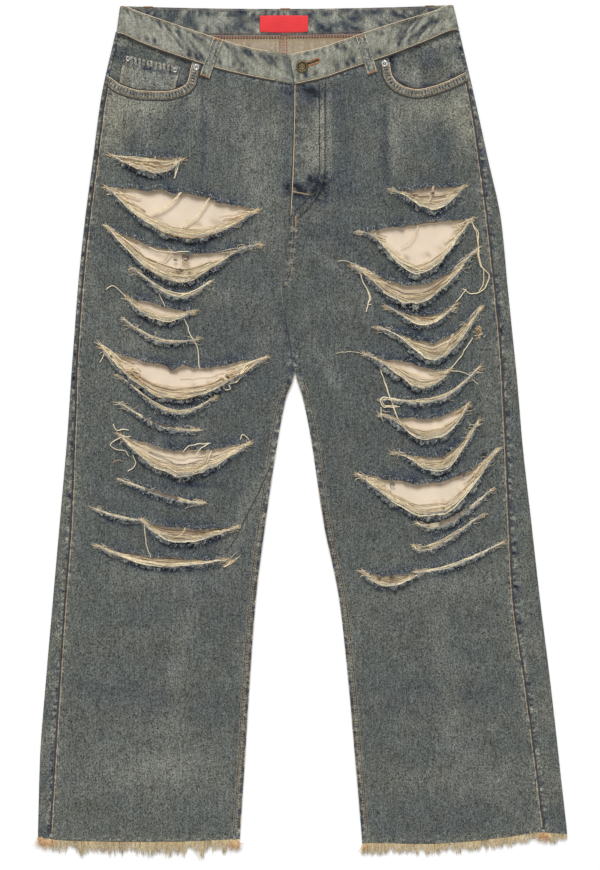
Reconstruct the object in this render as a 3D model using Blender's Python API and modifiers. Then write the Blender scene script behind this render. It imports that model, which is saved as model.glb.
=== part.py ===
"""Ripped five-pocket jeans, laid flat on a surface with the front up and the legs a little apart.

Units are metres and +Z is up. The waist points along +Y. The wearer's right leg lies at -X and the left
leg at +X. The origin is the middle of the footprint, on the surface.

Every piece of cloth is a wall. A piece is placed by its height in the stack, so that the back panels lie
on the surface, the fronts lie on the backs, and what is sewn on lies on its panel, SEAM apart.
"""

import math

import bmesh
import bpy
import numpy as np

# ------------------------------------------------------------------ driving dimensions
CLOTH = 0.0012  # one layer of denim
SEAM = 0.0003  # left between pieces that are sewn together
BAND_WALL = 0.0024  # the waistband is folded double
LOOP_WALL = 0.0016  # belt loops on the front
PATCH_WALL = 0.0012  # belt loops and pockets between the back and the surface
LABEL_WALL = 0.0008
FRINGE_WALL = 0.0026
FRINGE_STEPS = 8
FRINGE_GAP = 0.0008  # along the leg, from the cut hem to the plain solid of the fringe

PANEL_ROWS = 31  # sections along a leg panel
FRONT_COLUMNS = 10
BACK_COLUMNS = 7  # across the part that lies on the surface
TURN_STEPS = 5  # segments around a folded side

# Sections of the legs, from the waist to the hem. outer is the folded side, seam the outseam, which lies on
# the upper face because the back panel comes round the fold, and inner the centre seam or the inseam.
# _r is the wearer's right leg and _l the left one.
SECTION_COLUMNS = ("y", "outer_r", "seam_r", "inner_r", "inner_l", "seam_l", "outer_l")
SECTIONS = (
    (0.506, -0.2370, -0.2325, -0.0090, -0.0090, 0.1945, 0.1990),
    (0.420, -0.2560, -0.2515, -0.0095, -0.0095, 0.2135, 0.2190),
    (0.344, -0.2660, -0.2615, -0.0112, -0.0112, 0.2255, 0.2355),
    (0.267, -0.2762, -0.2717, -0.0150, -0.0150, 0.2355, 0.2520),
    (0.182, -0.2851, -0.2805, -0.0265, -0.0265, 0.2450, 0.2604),
    (0.115, -0.2902, -0.2855, -0.0172, -0.0172, 0.2515, 0.2673),
    (0.070, -0.2936, -0.2879, -0.0110, -0.0090, 0.2546, 0.2719),
    (0.040, -0.2955, -0.2885, -0.0210, 0.0005, 0.2560, 0.2745),
    (-0.012, -0.2991, -0.2905, -0.0311, 0.0108, 0.2587, 0.2788),
    (-0.114, -0.3080, -0.2946, -0.0464, 0.0260, 0.2631, 0.2902),
    (-0.215, -0.3169, -0.3023, -0.0591, 0.0464, 0.2686, 0.3016),
    (-0.317, -0.3258, -0.3092, -0.0667, 0.0578, 0.2830, 0.3143),
    (-0.419, -0.3334, -0.3152, -0.0730, 0.0667, 0.2965, 0.3258),
    (-0.518, -0.3360, -0.3213, -0.0794, 0.0756, 0.3073, 0.3360),
)

# Heights along the garment: lift is the underside of the back above the surface, and the others are the
# middle of the front's wall at its outseam, halfway across and at its inner edge.
HEIGHT_COLUMNS = ("y", "lift", "fold", "crown", "inner")
HEIGHTS = (
    (0.504, 0.0015, 0.0069, 0.0069, 0.0069),
    (0.420, 0.0015, 0.0069, 0.0071, 0.0069),
    (0.344, 0.0015, 0.0063, 0.0070, 0.0065),
    (0.267, 0.0015, 0.0058, 0.0066, 0.0059),
    (0.230, 0.0015, 0.0054, 0.0062, 0.0056),
    (0.182, 0.0008, 0.0046, 0.0054, 0.0032),
    (0.115, 0.0000, 0.0038, 0.0049, 0.0022),
    (0.000, 0.0000, 0.0036, 0.0046, 0.0022),
    (-0.420, 0.0000, 0.0034, 0.0042, 0.0022),
    (-0.520, 0.0000, 0.0032, 0.0036, 0.0022),
)

# The largest folds of the front, as soft ridges (or troughs, where height is negative) along a line.
FOLD_COLUMNS = ("x0", "y0", "x1", "y1", "width", "height")
FOLDS = (
    (-0.060, 0.160, -0.230, 0.205, 0.014, 0.0007),
    (0.010, 0.150, 0.200, 0.190, 0.014, 0.0006),
    (-0.043, -0.045, -0.097, -0.155, 0.012, 0.0009),
    (-0.240, -0.185, -0.090, -0.200, 0.018, 0.0006),
    (0.075, -0.215, 0.245, -0.190, 0.018, 0.0006),
    (-0.290, -0.330, -0.110, -0.350, 0.022, -0.0005),
    (0.090, -0.345, 0.280, -0.330, 0.022, -0.0005),
    (-0.270, -0.440, -0.120, -0.430, 0.020, 0.0005),
    (0.110, -0.450, 0.290, -0.440, 0.020, 0.0005),
)

# The front waistband, from the centre front to each side fold: its upper edge and its seam to the panels.
BAND_COLUMNS = ("top_x", "top_y", "low_x", "low_y")
BAND_RIGHT = (
    (-0.0171, 0.4769, -0.0095, 0.4392),
    (-0.0629, 0.4845, -0.0527, 0.4469),
    (-0.1149, 0.4997, -0.1048, 0.4586),
    (-0.1797, 0.5213, -0.1670, 0.4782),
    (-0.2130, 0.5330, -0.2051, 0.4921),
    (-0.2320, 0.5385, -0.2369, 0.5036),
)
BAND_LEFT = (
    (-0.0171, 0.4769, -0.0095, 0.4392),
    (0.0184, 0.4845, 0.0248, 0.4469),
    (0.0502, 0.4947, 0.0629, 0.4599),
    (0.1035, 0.5131, 0.1175, 0.4787),
    (0.1670, 0.5321, 0.1594, 0.4952),
    (0.1915, 0.5397, 0.1990, 0.5083),
)
BAND_BACK_STEPS = 10
BAND_BACK_SAG = 0.0040  # how far the back of the band dips between its two folds
BAND_STEP = 0.0027  # how far the button end drops to pass under the buttonhole end
BAND_RAMP = ((0.15, 0.0027), (0.40, 0.0012), (0.65, 0.0))  # its drop, by the share of the way to the first row
BAND_BACK_Z = 0.0015 + BAND_WALL / 2  # it lies on its belt loops

YOKE_SIDE_Y = 0.4630  # the yoke's lower seam at the folded sides
YOKE_CENTRE_Y = 0.4260  # and at the centre back
CENTRE_BACK_X = -0.0245

FLY_LOW_Y = 0.2650  # the fly ends here and the crotch seam begins
FLY_UNDERLAP = 0.0200
FLY_STEP = 0.0019
FLY_EDGE = 0.0040  # the right front has dipped under the left one this far before the centre
FLY_RAMP = 0.0240  # and begins to dip this much sooner
FLY_STEP_LOW_Y = 0.1950  # the step between the two fronts fades out down to here

# The mouths of the front pockets as points (x, y), from the side seam round to the rivet at the waistband.
MOUTH_RIGHT = (
    (-0.2600, 0.4520),
    (-0.2470, 0.4490),
    (-0.2292, 0.4375),
    (-0.2020, 0.4304),
    (-0.1734, 0.4299),
    (-0.1568, 0.4337),
    (-0.1460, 0.4413),
    (-0.1429, 0.4521),
    (-0.1391, 0.4680),
)
MOUTH_LEFT = (
    (0.2250, 0.4600),
    (0.2089, 0.4545),
    (0.1861, 0.4439),
    (0.1657, 0.4363),
    (0.1454, 0.4324),
    (0.1315, 0.4350),
    (0.1200, 0.4413),
    (0.1124, 0.4528),
    (0.1099, 0.4667),
)
FACING_LOW_Y = 0.4100  # how far the pocket facings reach under the fronts
FACING_LAP = 0.0110  # and past the mouth's rivet
FACING_DROP = 0.0030  # from the front's wall down to the facing's
COIN_DROP = 0.0015  # and to the coin pocket's
COIN_TOP = ((-0.2261, 0.4762), (-0.1548, 0.4613))
COIN_FOOT = ((-0.2362, 0.4197), (-0.1657, 0.4147))

# Rips across the fronts. Each is a lens between two sagging edges that share their ends: upper and lower
# are how far the edges sag below the line between the ends, and lean is where they are deepest.
RIP_COLUMNS = ("x0", "y0", "x1", "y1", "upper", "lower", "lean")
RIPS_RIGHT = (
    (-0.2420, 0.3486, -0.1556, 0.3436, -0.002, 0.0135, 0.57),
    (-0.2480, 0.3080, -0.0580, 0.2790, -0.007, 0.0480, 0.50),
    (-0.2480, 0.2597, -0.0530, 0.2356, 0.021, 0.0560, 0.48),
    (-0.2216, 0.1695, -0.1378, 0.1505, 0.001, 0.0190, 0.45),
    (-0.2559, 0.1086, -0.0464, 0.0933, 0.021, 0.0600, 0.45),
    (-0.2318, -0.0044, -0.0679, -0.0159, 0.015, 0.0450, 0.46),
    (-0.2013, -0.1149, -0.0718, -0.1175, 0.009, 0.0250, 0.35),
    (-0.2635, -0.1441, -0.0806, -0.1556, 0.014, 0.0255, 0.62),
)
RIPS_LEFT = (
    (0.1124, 0.3042, 0.2038, 0.3092, -0.001, 0.0260, 0.62),
    (0.0718, 0.2508, 0.2140, 0.2686, -0.002, 0.0580, 0.52),
    (0.0641, 0.2089, 0.2216, 0.2305, 0.036, 0.0530, 0.45),
    (0.1073, 0.1568, 0.1937, 0.1594, 0.010, 0.0230, 0.45),
    (0.0972, 0.1289, 0.2254, 0.1556, 0.032, 0.0470, 0.50),
    (0.0781, 0.0972, 0.1850, 0.0768, 0.002, 0.0270, 0.65),
    (0.0984, 0.0197, 0.2102, 0.0298, 0.015, 0.0360, 0.52),
    (0.1175, -0.0286, 0.2229, 0.0133, 0.021, 0.0380, 0.48),
    (0.0705, -0.0552, 0.2457, -0.0235, 0.030, 0.0680, 0.48),
    (0.0768, -0.1797, 0.2546, -0.1416, 0.015, 0.0270, 0.38),
)
RIP_STEPS = 7

# The cut hems and how far their fringe reaches.
HEM_COLUMNS = ("x", "cut", "reach")
HEM_RIGHT = (
    (-0.3370, -0.5165, -0.5300),
    (-0.2900, -0.5205, -0.5417),
    (-0.2000, -0.5215, -0.5417),
    (-0.1300, -0.5210, -0.5417),
    (-0.0780, -0.5190, -0.5370),
)
HEM_LEFT = (
    (0.0740, -0.5240, -0.5417),
    (0.1430, -0.5245, -0.5417),
    (0.2100, -0.5210, -0.5390),
    (0.2640, -0.5150, -0.5320),
    (0.3050, -0.5100, -0.5250),
    (0.3370, -0.5120, -0.5240),
)
HEM_FROM_Y = -0.440  # below this the rows lean into the hem's own line
HEM_NOMINAL_Y = -0.520

LOOP_WIDTH = 0.0125
FRONT_LOOPS = (
    ("belt_loop_front_right", (-0.1067, 0.4966), (-0.1241, 0.4483)),
    ("belt_loop_front_left", (0.0737, 0.5004), (0.0889, 0.4528)),
)
BACK_LOOPS = (
    ("belt_loop_back_right", -0.1962),
    ("belt_loop_back_centre", -0.0222),
    ("belt_loop_back_left", 0.1619),
)
BACK_LOOP_TOP_Y = 0.5417
BACK_LOOP_LOW_Y = 0.4880

BACK_POCKET_TOP_Y = 0.4080
BACK_POCKET_SIDE_Y = 0.2680
BACK_POCKET_TIP_Y = 0.2420
BACK_POCKET_NEAR = 0.0420  # from the centre back to the pocket's nearer corner
BACK_POCKET_FAR = 0.1920
BACK_POCKET_TAPER = 0.0090

LABEL_X = (-0.0540, 0.0070)
LABEL_Y = (0.5061, 0.5264)

BUTTON_AT = (-0.0006, 0.4616)
BUTTON_RADIUS = 0.0078
BUTTON_CAP = 0.0024
SHANK_RADIUS = 0.0019
BUTTONHOLE_END = (0.0197, 0.4692)
BUTTONHOLE_RADIUS = 0.0016
EYELET_RADIUS = 0.0027

RIVET_RISE = 0.0010
RIVETS = (
    ("rivet_pocket_right", (-0.1347, 0.4605), 0.0042, 0.0),
    ("rivet_pocket_left", (0.1040, 0.4652), 0.0044, 0.0),
    ("rivet_coin_outer", (-0.2212, 0.4716), 0.0032, COIN_DROP),
    ("rivet_coin_inner", (-0.1619, 0.4573), 0.0032, COIN_DROP),
)

DENIM = (0.105, 0.125, 0.118)
DENIM_INSIDE = (0.480, 0.400, 0.290)
BAND_DENIM = (0.085, 0.092, 0.095)
FRINGE = (0.390, 0.300, 0.180)
LABEL_RED = (0.330, 0.020, 0.025)
BRONZE = (0.120, 0.085, 0.045)
NICKEL = (0.620, 0.610, 0.590)


# ------------------------------------------------------------------ reading the tables
def column(table, names, name):
    """One named column of a table, in increasing order of its first column."""
    rows = sorted(table)
    return np.array([row[names.index(name)] for row in rows])


def smooth(at, places, values):
    """A value between the rows of a table, on a curve that never passes beyond two neighbouring rows."""
    steep = np.diff(values) / np.diff(places)
    before, after = steep[:-1], steep[1:]
    same_way = before * after > 0
    inner = np.where(same_way, 2 * before * after / np.where(same_way, before + after, 1.0), 0.0)
    slopes = np.concatenate([steep[:1], inner, steep[-1:]])
    k = int(np.clip(np.searchsorted(places, at) - 1, 0, len(places) - 2))
    span = places[k + 1] - places[k]
    t = min(max((at - places[k]) / span, 0.0), 1.0)
    rise = (2 * t**3 - 3 * t**2 + 1) * values[k] + (3 * t**2 - 2 * t**3) * values[k + 1]
    return rise + span * ((t**3 - 2 * t**2 + t) * slopes[k] + (t**3 - t**2) * slopes[k + 1])


def reader(table, names):
    """A function (name, place) that reads any column of a table at any place."""
    places = column(table, names, names[0])
    columns = {name: column(table, names, name) for name in names[1:]}
    return lambda name, at: smooth(at, places, columns[name])


section = reader(SECTIONS, SECTION_COLUMNS)
height = reader(HEIGHTS, HEIGHT_COLUMNS)
hems = {"r": reader(HEM_RIGHT, HEM_COLUMNS), "l": reader(HEM_LEFT, HEM_COLUMNS)}
SIGN = {"r": -1.0, "l": 1.0}  # the way from the middle to each leg's folded side


def ease(t):
    t = min(max(t, 0.0), 1.0)
    return t * t * (3 - 2 * t)


def mix(a, b, t):
    return a + (b - a) * t


# ------------------------------------------------------------------ the form of the garment
def back_inner(leg, y):
    """The centre-back seam above the crotch, and the inner edge of the leg below it."""
    share = ease((y - SECTIONS[4][0]) / 0.060)
    return mix(section("inner_" + leg, y), CENTRE_BACK_X, share)


def fold_rise(x, y):
    """The height that the largest folds add at a point."""
    total = 0.0
    for row in FOLDS:
        fold = dict(zip(FOLD_COLUMNS, row))
        dx, dy = fold["x1"] - fold["x0"], fold["y1"] - fold["y0"]
        along = ((x - fold["x0"]) * dx + (y - fold["y0"]) * dy) / (dx * dx + dy * dy)
        near = min(max(along, 0.0), 1.0)
        away = math.hypot(x - fold["x0"] - near * dx, y - fold["y0"] - near * dy)
        fade = math.sin(math.pi * (0.15 + 0.7 * near))
        total += fold["height"] * fade * math.exp(-((away / fold["width"]) ** 2))
    return total


def front_z(leg, x, y):
    """The middle of the front's wall."""
    seam = section("seam_" + leg, y)
    inner = section("inner_" + leg, y)
    u = min(max((x - seam) / (inner - seam), 0.0), 1.0)
    edges = mix(height("fold", y), height("inner", y), u)
    arch = height("crown", y) - (height("fold", y) + height("inner", y)) / 2
    return edges + arch * math.sin(math.pi * u) + fold_rise(x, y) * math.sin(math.pi * u)


def underlap(y):
    """How far the right front reaches under the left one."""
    return FLY_UNDERLAP * ease((y - FLY_LOW_Y) / 0.020)


def fly_drop(x, y):
    """How far the right front dips near the centre, to pass under the left one."""
    under = ease((x - section("inner_r", y) + FLY_EDGE + FLY_RAMP) / FLY_RAMP)
    return FLY_STEP * under * ease((y - FLY_STEP_LOW_Y) / 0.030)


def hem_row(leg, x, y):
    """Rows near the hem lean into its own line."""
    share = max((HEM_FROM_Y - y) / (HEM_FROM_Y - HEM_NOMINAL_Y), 0.0)
    return y + share * (hems[leg]("cut", x) - HEM_NOMINAL_Y)


def turn(edge, sign, low, high, wall):
    """Points (x, z) round a folded side, from the surface up, whose outermost face is at edge."""
    radius = (high - low) / 2
    centre = edge - sign * (radius + wall / 2)
    angles = [math.pi * (k / TURN_STEPS - 0.5) for k in range(TURN_STEPS + 1)]
    return [(centre + sign * radius * math.cos(a), (low + high) / 2 + radius * math.sin(a)) for a in angles]


# ------------------------------------------------------------------ making pieces
def material(name, colour, roughness, metallic=0.0):
    made = bpy.data.materials.new(name)
    made.use_nodes = True
    shader = made.node_tree.nodes["Principled BSDF"]
    shader.inputs["Base Color"].default_value = (*colour, 1.0)
    shader.inputs["Roughness"].default_value = roughness
    shader.inputs["Metallic"].default_value = metallic
    return made


def add_object(name, mesh, look, collection):
    made = bpy.data.objects.new(name, mesh)
    collection.objects.link(made)
    if look:
        mesh.materials.append(look)
    return made


def sheet(name, columns, rows, place, wall, look):
    """A cloth piece: a grid whose points place(u, v) puts on the wall's middle, thickened to a wall."""
    cloth = bmesh.new()
    bmesh.ops.create_grid(cloth, x_segments=columns, y_segments=rows, size=0.5)
    for vertex in cloth.verts:
        vertex.co = place(vertex.co.x + 0.5, vertex.co.y + 0.5)
    mesh = bpy.data.meshes.new(name)
    cloth.to_mesh(mesh)
    cloth.free()
    made = add_object(name, mesh, look, jeans)
    thicken = made.modifiers.new("Wall", "SOLIDIFY")
    thicken.thickness = wall
    thicken.offset = 0.0
    return made


def prism(name, outlines, low, high, look, collection):
    """One mesh with an upright prism over each outline."""
    shape = bpy.data.curves.new(name, "CURVE")
    shape.dimensions = "2D"
    shape.fill_mode = "BOTH"
    shape.extrude = (high - low) / 2
    for outline in outlines:
        spline = shape.splines.new("POLY")
        spline.points.add(len(outline) - 1)
        spline.use_cyclic_u = True
        for point, (x, y) in zip(spline.points, outline):
            point.co = (x, y, 0.0, 1.0)
    guide = bpy.data.objects.new(name + "_outline", shape)
    jeans.objects.link(guide)
    bpy.context.view_layer.update()
    mesh = bpy.data.meshes.new_from_object(guide.evaluated_get(bpy.context.evaluated_depsgraph_get()))
    bpy.data.objects.remove(guide)
    solid = bmesh.new()
    solid.from_mesh(mesh)
    bmesh.ops.remove_doubles(solid, verts=solid.verts, dist=1e-6)
    bmesh.ops.recalc_face_normals(solid, faces=solid.faces)
    solid.to_mesh(mesh)
    solid.free()
    mesh.name = name
    made = add_object(name, mesh, look, collection)
    made.location.z = (low + high) / 2
    return made


def cut(piece, name, outlines):
    """Cuts upright holes through a piece."""
    tool = prism(name, outlines, -0.010, 0.020, None, cutters)
    tool.hide_render = True
    tool.display_type = "WIRE"
    hole = piece.modifiers.new(name, "BOOLEAN")
    hole.operation = "DIFFERENCE"
    hole.object = tool


def turned(name, at, profile, steps, look):
    """A round piece from its profile of (radius, z), listed from the top down."""
    outline = bmesh.new()
    points = [outline.verts.new((radius, 0.0, z)) for radius, z in profile]
    for a, b in zip(points, points[1:]):
        outline.edges.new((a, b))
    mesh = bpy.data.meshes.new(name)
    outline.to_mesh(mesh)
    outline.free()
    made = add_object(name, mesh, look, jeans)
    made.location = (*at, 0.0)
    spin = made.modifiers.new("Turn", "SCREW")
    spin.steps = steps
    spin.render_steps = steps
    spin.use_merge_vertices = True
    spin.merge_threshold = 1e-5
    return made


# ------------------------------------------------------------------ leg panels
def front_panel(leg, name, mouth, rips, look):
    sign = SIGN[leg]

    def place(u, v):
        y = mix(SECTIONS[0][0], HEM_NOMINAL_Y, v)
        edge = section("inner_" + leg, y) + sign * SEAM / 2
        start = section("seam_" + leg, y) - sign * SEAM / 2
        k = round(u * FRONT_COLUMNS)
        if k < FRONT_COLUMNS:
            x = mix(start, edge + sign * FLY_EDGE, k / (FRONT_COLUMNS - 1))
        else:
            x = edge + (underlap(y) if leg == "r" else 0.0)
        z = front_z(leg, x, y) - (fly_drop(x, y) if leg == "r" else 0.0)
        return x, hem_row(leg, x, y), z

    panel = sheet(name, FRONT_COLUMNS, PANEL_ROWS, place, CLOTH, look)
    band = BAND_RIGHT if leg == "r" else BAND_LEFT
    waist = [(x, y - SEAM) for x, y in band_edge(band, "low") if sign * x < sign * mouth[-1][0]]
    past_centre = (-0.060, waist[0][1])
    if leg == "r":
        button_end = band_edge(BAND_LEFT, "low")[1]
        past_centre = (button_end[0], button_end[1] - SEAM)
    outline = [past_centre, *waist, *reversed(mouth)]
    outline += [(mouth[0][0] + sign * 0.030, mouth[0][1]), (mouth[0][0] + sign * 0.030, 0.560)]
    outline.append((past_centre[0], 0.560))
    cut(panel, name + "_top", [outline])
    cut(panel, name + "_rips", [rip_outline(**dict(zip(RIP_COLUMNS, row))) for row in rips])


def rip_outline(x0, y0, x1, y1, upper, lower, lean):
    power = math.log(0.5) / math.log(lean)
    edges = []
    for sag in (lower, upper):
        steps = [k / RIP_STEPS for k in range(1, RIP_STEPS)]
        edges.append([(mix(x0, x1, s), mix(y0, y1, s) - sag * math.sin(math.pi * s**power)) for s in steps])
    return [(x0, y0), *edges[0], (x1, y1), *reversed(edges[1])]


def back_path(leg, y):
    """The middle of a back piece's wall across one section, from the inner edge round the fold."""
    sign = SIGN[leg]
    low = height("lift", y) + CLOTH / 2
    round_fold = turn(section("outer_" + leg, y), sign, low, height("fold", y), CLOTH)
    start = back_inner(leg, y) + sign * SEAM / 2
    flat = [(mix(start, round_fold[0][0], k / BACK_COLUMNS), low) for k in range(BACK_COLUMNS)]
    return [*flat, *round_fold, (section("seam_" + leg, y) + sign * SEAM / 2, height("fold", y))]


def back_piece(leg, name, top, foot, rows, look):
    """A piece of the back whose upper and lower edges are functions of x, round the folded side."""
    columns = BACK_COLUMNS + TURN_STEPS + 1

    def place(u, v):
        k = round(u * columns)
        y = mix(top(0.0), foot(0.0), v)
        for _ in range(3):
            x = back_path(leg, y)[k][0]
            y = mix(top(x), foot(x), v)
        x, z = back_path(leg, y)[k]
        return x, hem_row(leg, x, y), z

    return sheet(name, columns, rows, place, CLOTH, look)


def yoke_seam(leg, shift):
    side = section("outer_" + leg, YOKE_SIDE_Y)
    reach = side - CENTRE_BACK_X

    def line(x):
        return mix(YOKE_CENTRE_Y, YOKE_SIDE_Y, min(max((x - CENTRE_BACK_X) / reach, 0.0), 1.0)) + shift

    return line


# ------------------------------------------------------------------ the waistband
def band_edge(rows, edge):
    """The points (x, y) of the band's top or low edge."""
    at = BAND_COLUMNS.index(edge + "_x")
    return [row[at : at + 2] for row in rows]


def back_band_edge(edge, x):
    """The back's top or low edge in y: straight between the folds but for a slight dip."""
    (x0, y0), (x1, y1) = (band_edge(rows, edge)[-1] for rows in (BAND_RIGHT, BAND_LEFT))
    share = (x - x0) / (x1 - x0)
    return mix(y0, y1, share) - BAND_BACK_SAG * math.sin(math.pi * min(max(share, 0.0), 1.0))


def band_path(edge):
    """The middle of the band's wall along one edge, from the button end round the back."""
    front = height("fold", 0.504)
    right, left = band_edge(BAND_RIGHT, edge), band_edge(BAND_LEFT, edge)
    path = [(*left[1], front - BAND_STEP), (*right[0], front - BAND_STEP)]
    for share, drop in BAND_RAMP:
        path.append((mix(right[0][0], right[1][0], share), mix(right[0][1], right[1][1], share), front - drop))
    path += [(*point, front) for point in right[1:-1]]
    (rx, ry), (lx, ly) = right[-1], left[-1]
    path += [(px, ry, z) for px, z in reversed(turn(rx, SIGN["r"], BAND_BACK_Z, front, BAND_WALL))]
    for k in range(1, BAND_BACK_STEPS):
        px = mix(rx, lx, k / BAND_BACK_STEPS)
        path.append((px, back_band_edge(edge, px), BAND_BACK_Z))
    path += [(px, ly, z) for px, z in turn(lx, SIGN["l"], BAND_BACK_Z, front, BAND_WALL)]
    path += [(*point, front) for point in reversed(left[:-1])]
    return path


def waistband(look):
    upper, lower = band_path("top"), band_path("low")

    def place(u, v):
        k = round(u * (len(upper) - 1))
        return [mix(a, b, v) for a, b in zip(upper[k], lower[k])]

    band = sheet("waistband", len(upper) - 1, 2, place, BAND_WALL, look)
    cut(band, "buttonhole", [keyhole()])


def keyhole():
    """A slot that widens to a round eyelet at the button."""
    (ex, ey), (sx, sy) = BUTTON_AT, BUTTONHOLE_END
    heading = math.atan2(sy - ey, sx - ex)
    points = []
    for k in range(13):
        angle = heading + math.radians(38 + (360 - 76) * k / 12)
        points.append((ex + EYELET_RADIUS * math.cos(angle), ey + EYELET_RADIUS * math.sin(angle)))
    for k in range(5):
        angle = heading + math.radians(-90 + 180 * k / 4)
        points.append((sx + BUTTONHOLE_RADIUS * math.cos(angle), sy + BUTTONHOLE_RADIUS * math.sin(angle)))
    return points


def front_seam_y(leg, x):
    """The seam under the front waistband."""
    points = sorted(band_edge(BAND_RIGHT if leg == "r" else BAND_LEFT, "low"))
    return float(np.interp(x, [p[0] for p in points], [p[1] for p in points]))


# ------------------------------------------------------------------ what is sewn on
def quad_patch(name, top, foot, columns, rows, z_at, wall, look):
    """A four-cornered patch between two edges, at a height worked out from its place."""

    def place(u, v):
        x = mix(mix(top[0][0], top[1][0], u), mix(foot[0][0], foot[1][0], u), v)
        y = mix(mix(top[0][1], top[1][1], u), mix(foot[0][1], foot[1][1], u), v)
        return x, y, z_at(x, y)

    return sheet(name, columns, rows, place, wall, look)


def pocket_facing(leg, name, mouth, look):
    sign = SIGN[leg]

    def place(u, v):
        near = mouth[-1][0] - sign * FACING_LAP
        y = mix(front_seam_y(leg, mix(section("seam_" + leg, 0.48), near, u)) - SEAM, FACING_LOW_Y, v)
        x = mix(section("seam_" + leg, y) - sign * 0.0015, near, u)
        return x, y, front_z(leg, x, y) - FACING_DROP

    return sheet(name, 6, 4, place, CLOTH, look)


def belt_loop(name, top, foot, z, wall, look):
    along = math.atan2(foot[1] - top[1], foot[0] - top[0])
    dx, dy = -math.sin(along) * LOOP_WIDTH / 2, math.cos(along) * LOOP_WIDTH / 2
    edges = [((x - dx, y - dy), (x + dx, y + dy)) for x, y in (top, foot)]
    return quad_patch(name, *edges, 1, 3, lambda x, y: z, wall, look)


def back_pocket(leg, name, look):
    sign = SIGN[leg]
    near, far = (CENTRE_BACK_X + sign * reach for reach in (BACK_POCKET_NEAR, BACK_POCKET_FAR))
    taper = sign * BACK_POCKET_TAPER
    outline = [
        (near, BACK_POCKET_TOP_Y),
        (far, BACK_POCKET_TOP_Y),
        (far - taper, BACK_POCKET_SIDE_Y),
        ((near + far) / 2, BACK_POCKET_TIP_Y),
        (near + taper, BACK_POCKET_SIDE_Y),
    ]
    prism(name, [outline], 0.0, PATCH_WALL, look, jeans)


def hem_fringe(leg, name, look):
    sign = SIGN[leg]
    ends = (section("inner_" + leg, HEM_NOMINAL_Y), section("outer_" + leg, HEM_NOMINAL_Y))
    start = ends[0] + sign * FRINGE_GAP
    places = [mix(start, ends[1], k / FRINGE_STEPS) for k in range(FRINGE_STEPS + 1)]
    cut_edge = [(x, hems[leg]("cut", x) - FRINGE_GAP) for x in places]
    reach = [(x, hems[leg]("reach", x)) for x in reversed(places)]
    prism(name, [cut_edge + reach], 0.0, FRINGE_WALL, look, jeans)


def button(look):
    """A domed cap on a shank that stands on the button end of the waistband, through the eyelet."""
    under = height("fold", 0.504) - BAND_STEP + BAND_WALL / 2 + SEAM
    over = height("fold", 0.504) + BAND_WALL / 2 + SEAM
    top = over + BUTTON_CAP
    profile = (
        (0.0, top - 0.0004),
        (BUTTON_RADIUS * 0.55, top - 0.0005),
        (BUTTON_RADIUS * 0.70, top),
        (BUTTON_RADIUS * 0.90, top - 0.0003),
        (BUTTON_RADIUS, top - 0.0012),
        (BUTTON_RADIUS * 0.92, over),
        (SHANK_RADIUS, over),
        (SHANK_RADIUS, under),
        (0.0, under),
    )
    turned("button", BUTTON_AT, profile, 20, look)


def rivet(name, at, radius, drop, look):
    leg = "r" if at[0] < 0 else "l"
    seat = front_z(leg, *at) - drop + CLOTH / 2 + SEAM
    profile = (
        (0.0, seat + RIVET_RISE * 0.75),
        (radius * 0.42, seat + RIVET_RISE * 0.80),
        (radius * 0.62, seat + RIVET_RISE),
        (radius * 0.88, seat + RIVET_RISE * 0.75),
        (radius, seat),
        (0.0, seat),
    )
    turned(name, at, profile, 14, look)


# ------------------------------------------------------------------ the whole garment
def build():
    denim = material("denim", DENIM, 0.9)
    denim_back = material("denim_back", DENIM, 0.92)
    band_denim = material("band_denim", BAND_DENIM, 0.9)
    facing_denim = material("facing_denim", DENIM_INSIDE, 0.92)
    fringe = material("fringe_yarn", FRINGE, 0.95)
    red = material("label_cloth", LABEL_RED, 0.7)
    bronze = material("bronze", BRONZE, 0.4, 1.0)
    nickel = material("nickel", NICKEL, 0.3, 1.0)

    front_panel("r", "front_right", MOUTH_RIGHT, RIPS_RIGHT, denim)
    front_panel("l", "front_left", MOUTH_LEFT, RIPS_LEFT, denim)
    for leg, side in (("r", "right"), ("l", "left")):
        back_piece(
            leg, "yoke_" + side, lambda x: min(back_band_edge("low", x), 0.5030) - 2 * SEAM,
            yoke_seam(leg, SEAM), 2, denim_back,
        )
        back_piece(
            leg, "back_" + side, yoke_seam(leg, 0.0), lambda x: HEM_NOMINAL_Y, PANEL_ROWS, denim_back,
        )
        back_pocket(leg, "back_pocket_" + side, denim_back)
        hem_fringe(leg, "hem_fringe_" + side, fringe)
    pocket_facing("r", "pocket_facing_right", MOUTH_RIGHT, facing_denim)
    pocket_facing("l", "pocket_facing_left", MOUTH_LEFT, facing_denim)
    quad_patch(
        "coin_pocket", COIN_TOP, COIN_FOOT, 3, 3, lambda x, y: front_z("r", x, y) - COIN_DROP, CLOTH, denim,
    )
    waistband(band_denim)
    for name, top, foot in FRONT_LOOPS:
        z = height("fold", 0.504) + BAND_WALL / 2 + SEAM + LOOP_WALL / 2
        belt_loop(name, top, foot, z, LOOP_WALL, denim)
    for name, x in BACK_LOOPS:
        belt_loop(name, (x, BACK_LOOP_TOP_Y), (x, BACK_LOOP_LOW_Y), PATCH_WALL / 2, PATCH_WALL, denim_back)
    label_z = BAND_BACK_Z + BAND_WALL / 2 + SEAM
    corners = [(LABEL_X[i], LABEL_Y[j]) for i, j in ((0, 0), (1, 0), (1, 1), (0, 1))]
    prism("waist_label", [corners], label_z, label_z + LABEL_WALL, red, jeans)
    button(bronze)
    for name, at, radius, drop in RIVETS:
        rivet(name, at, radius, drop, nickel)


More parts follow.
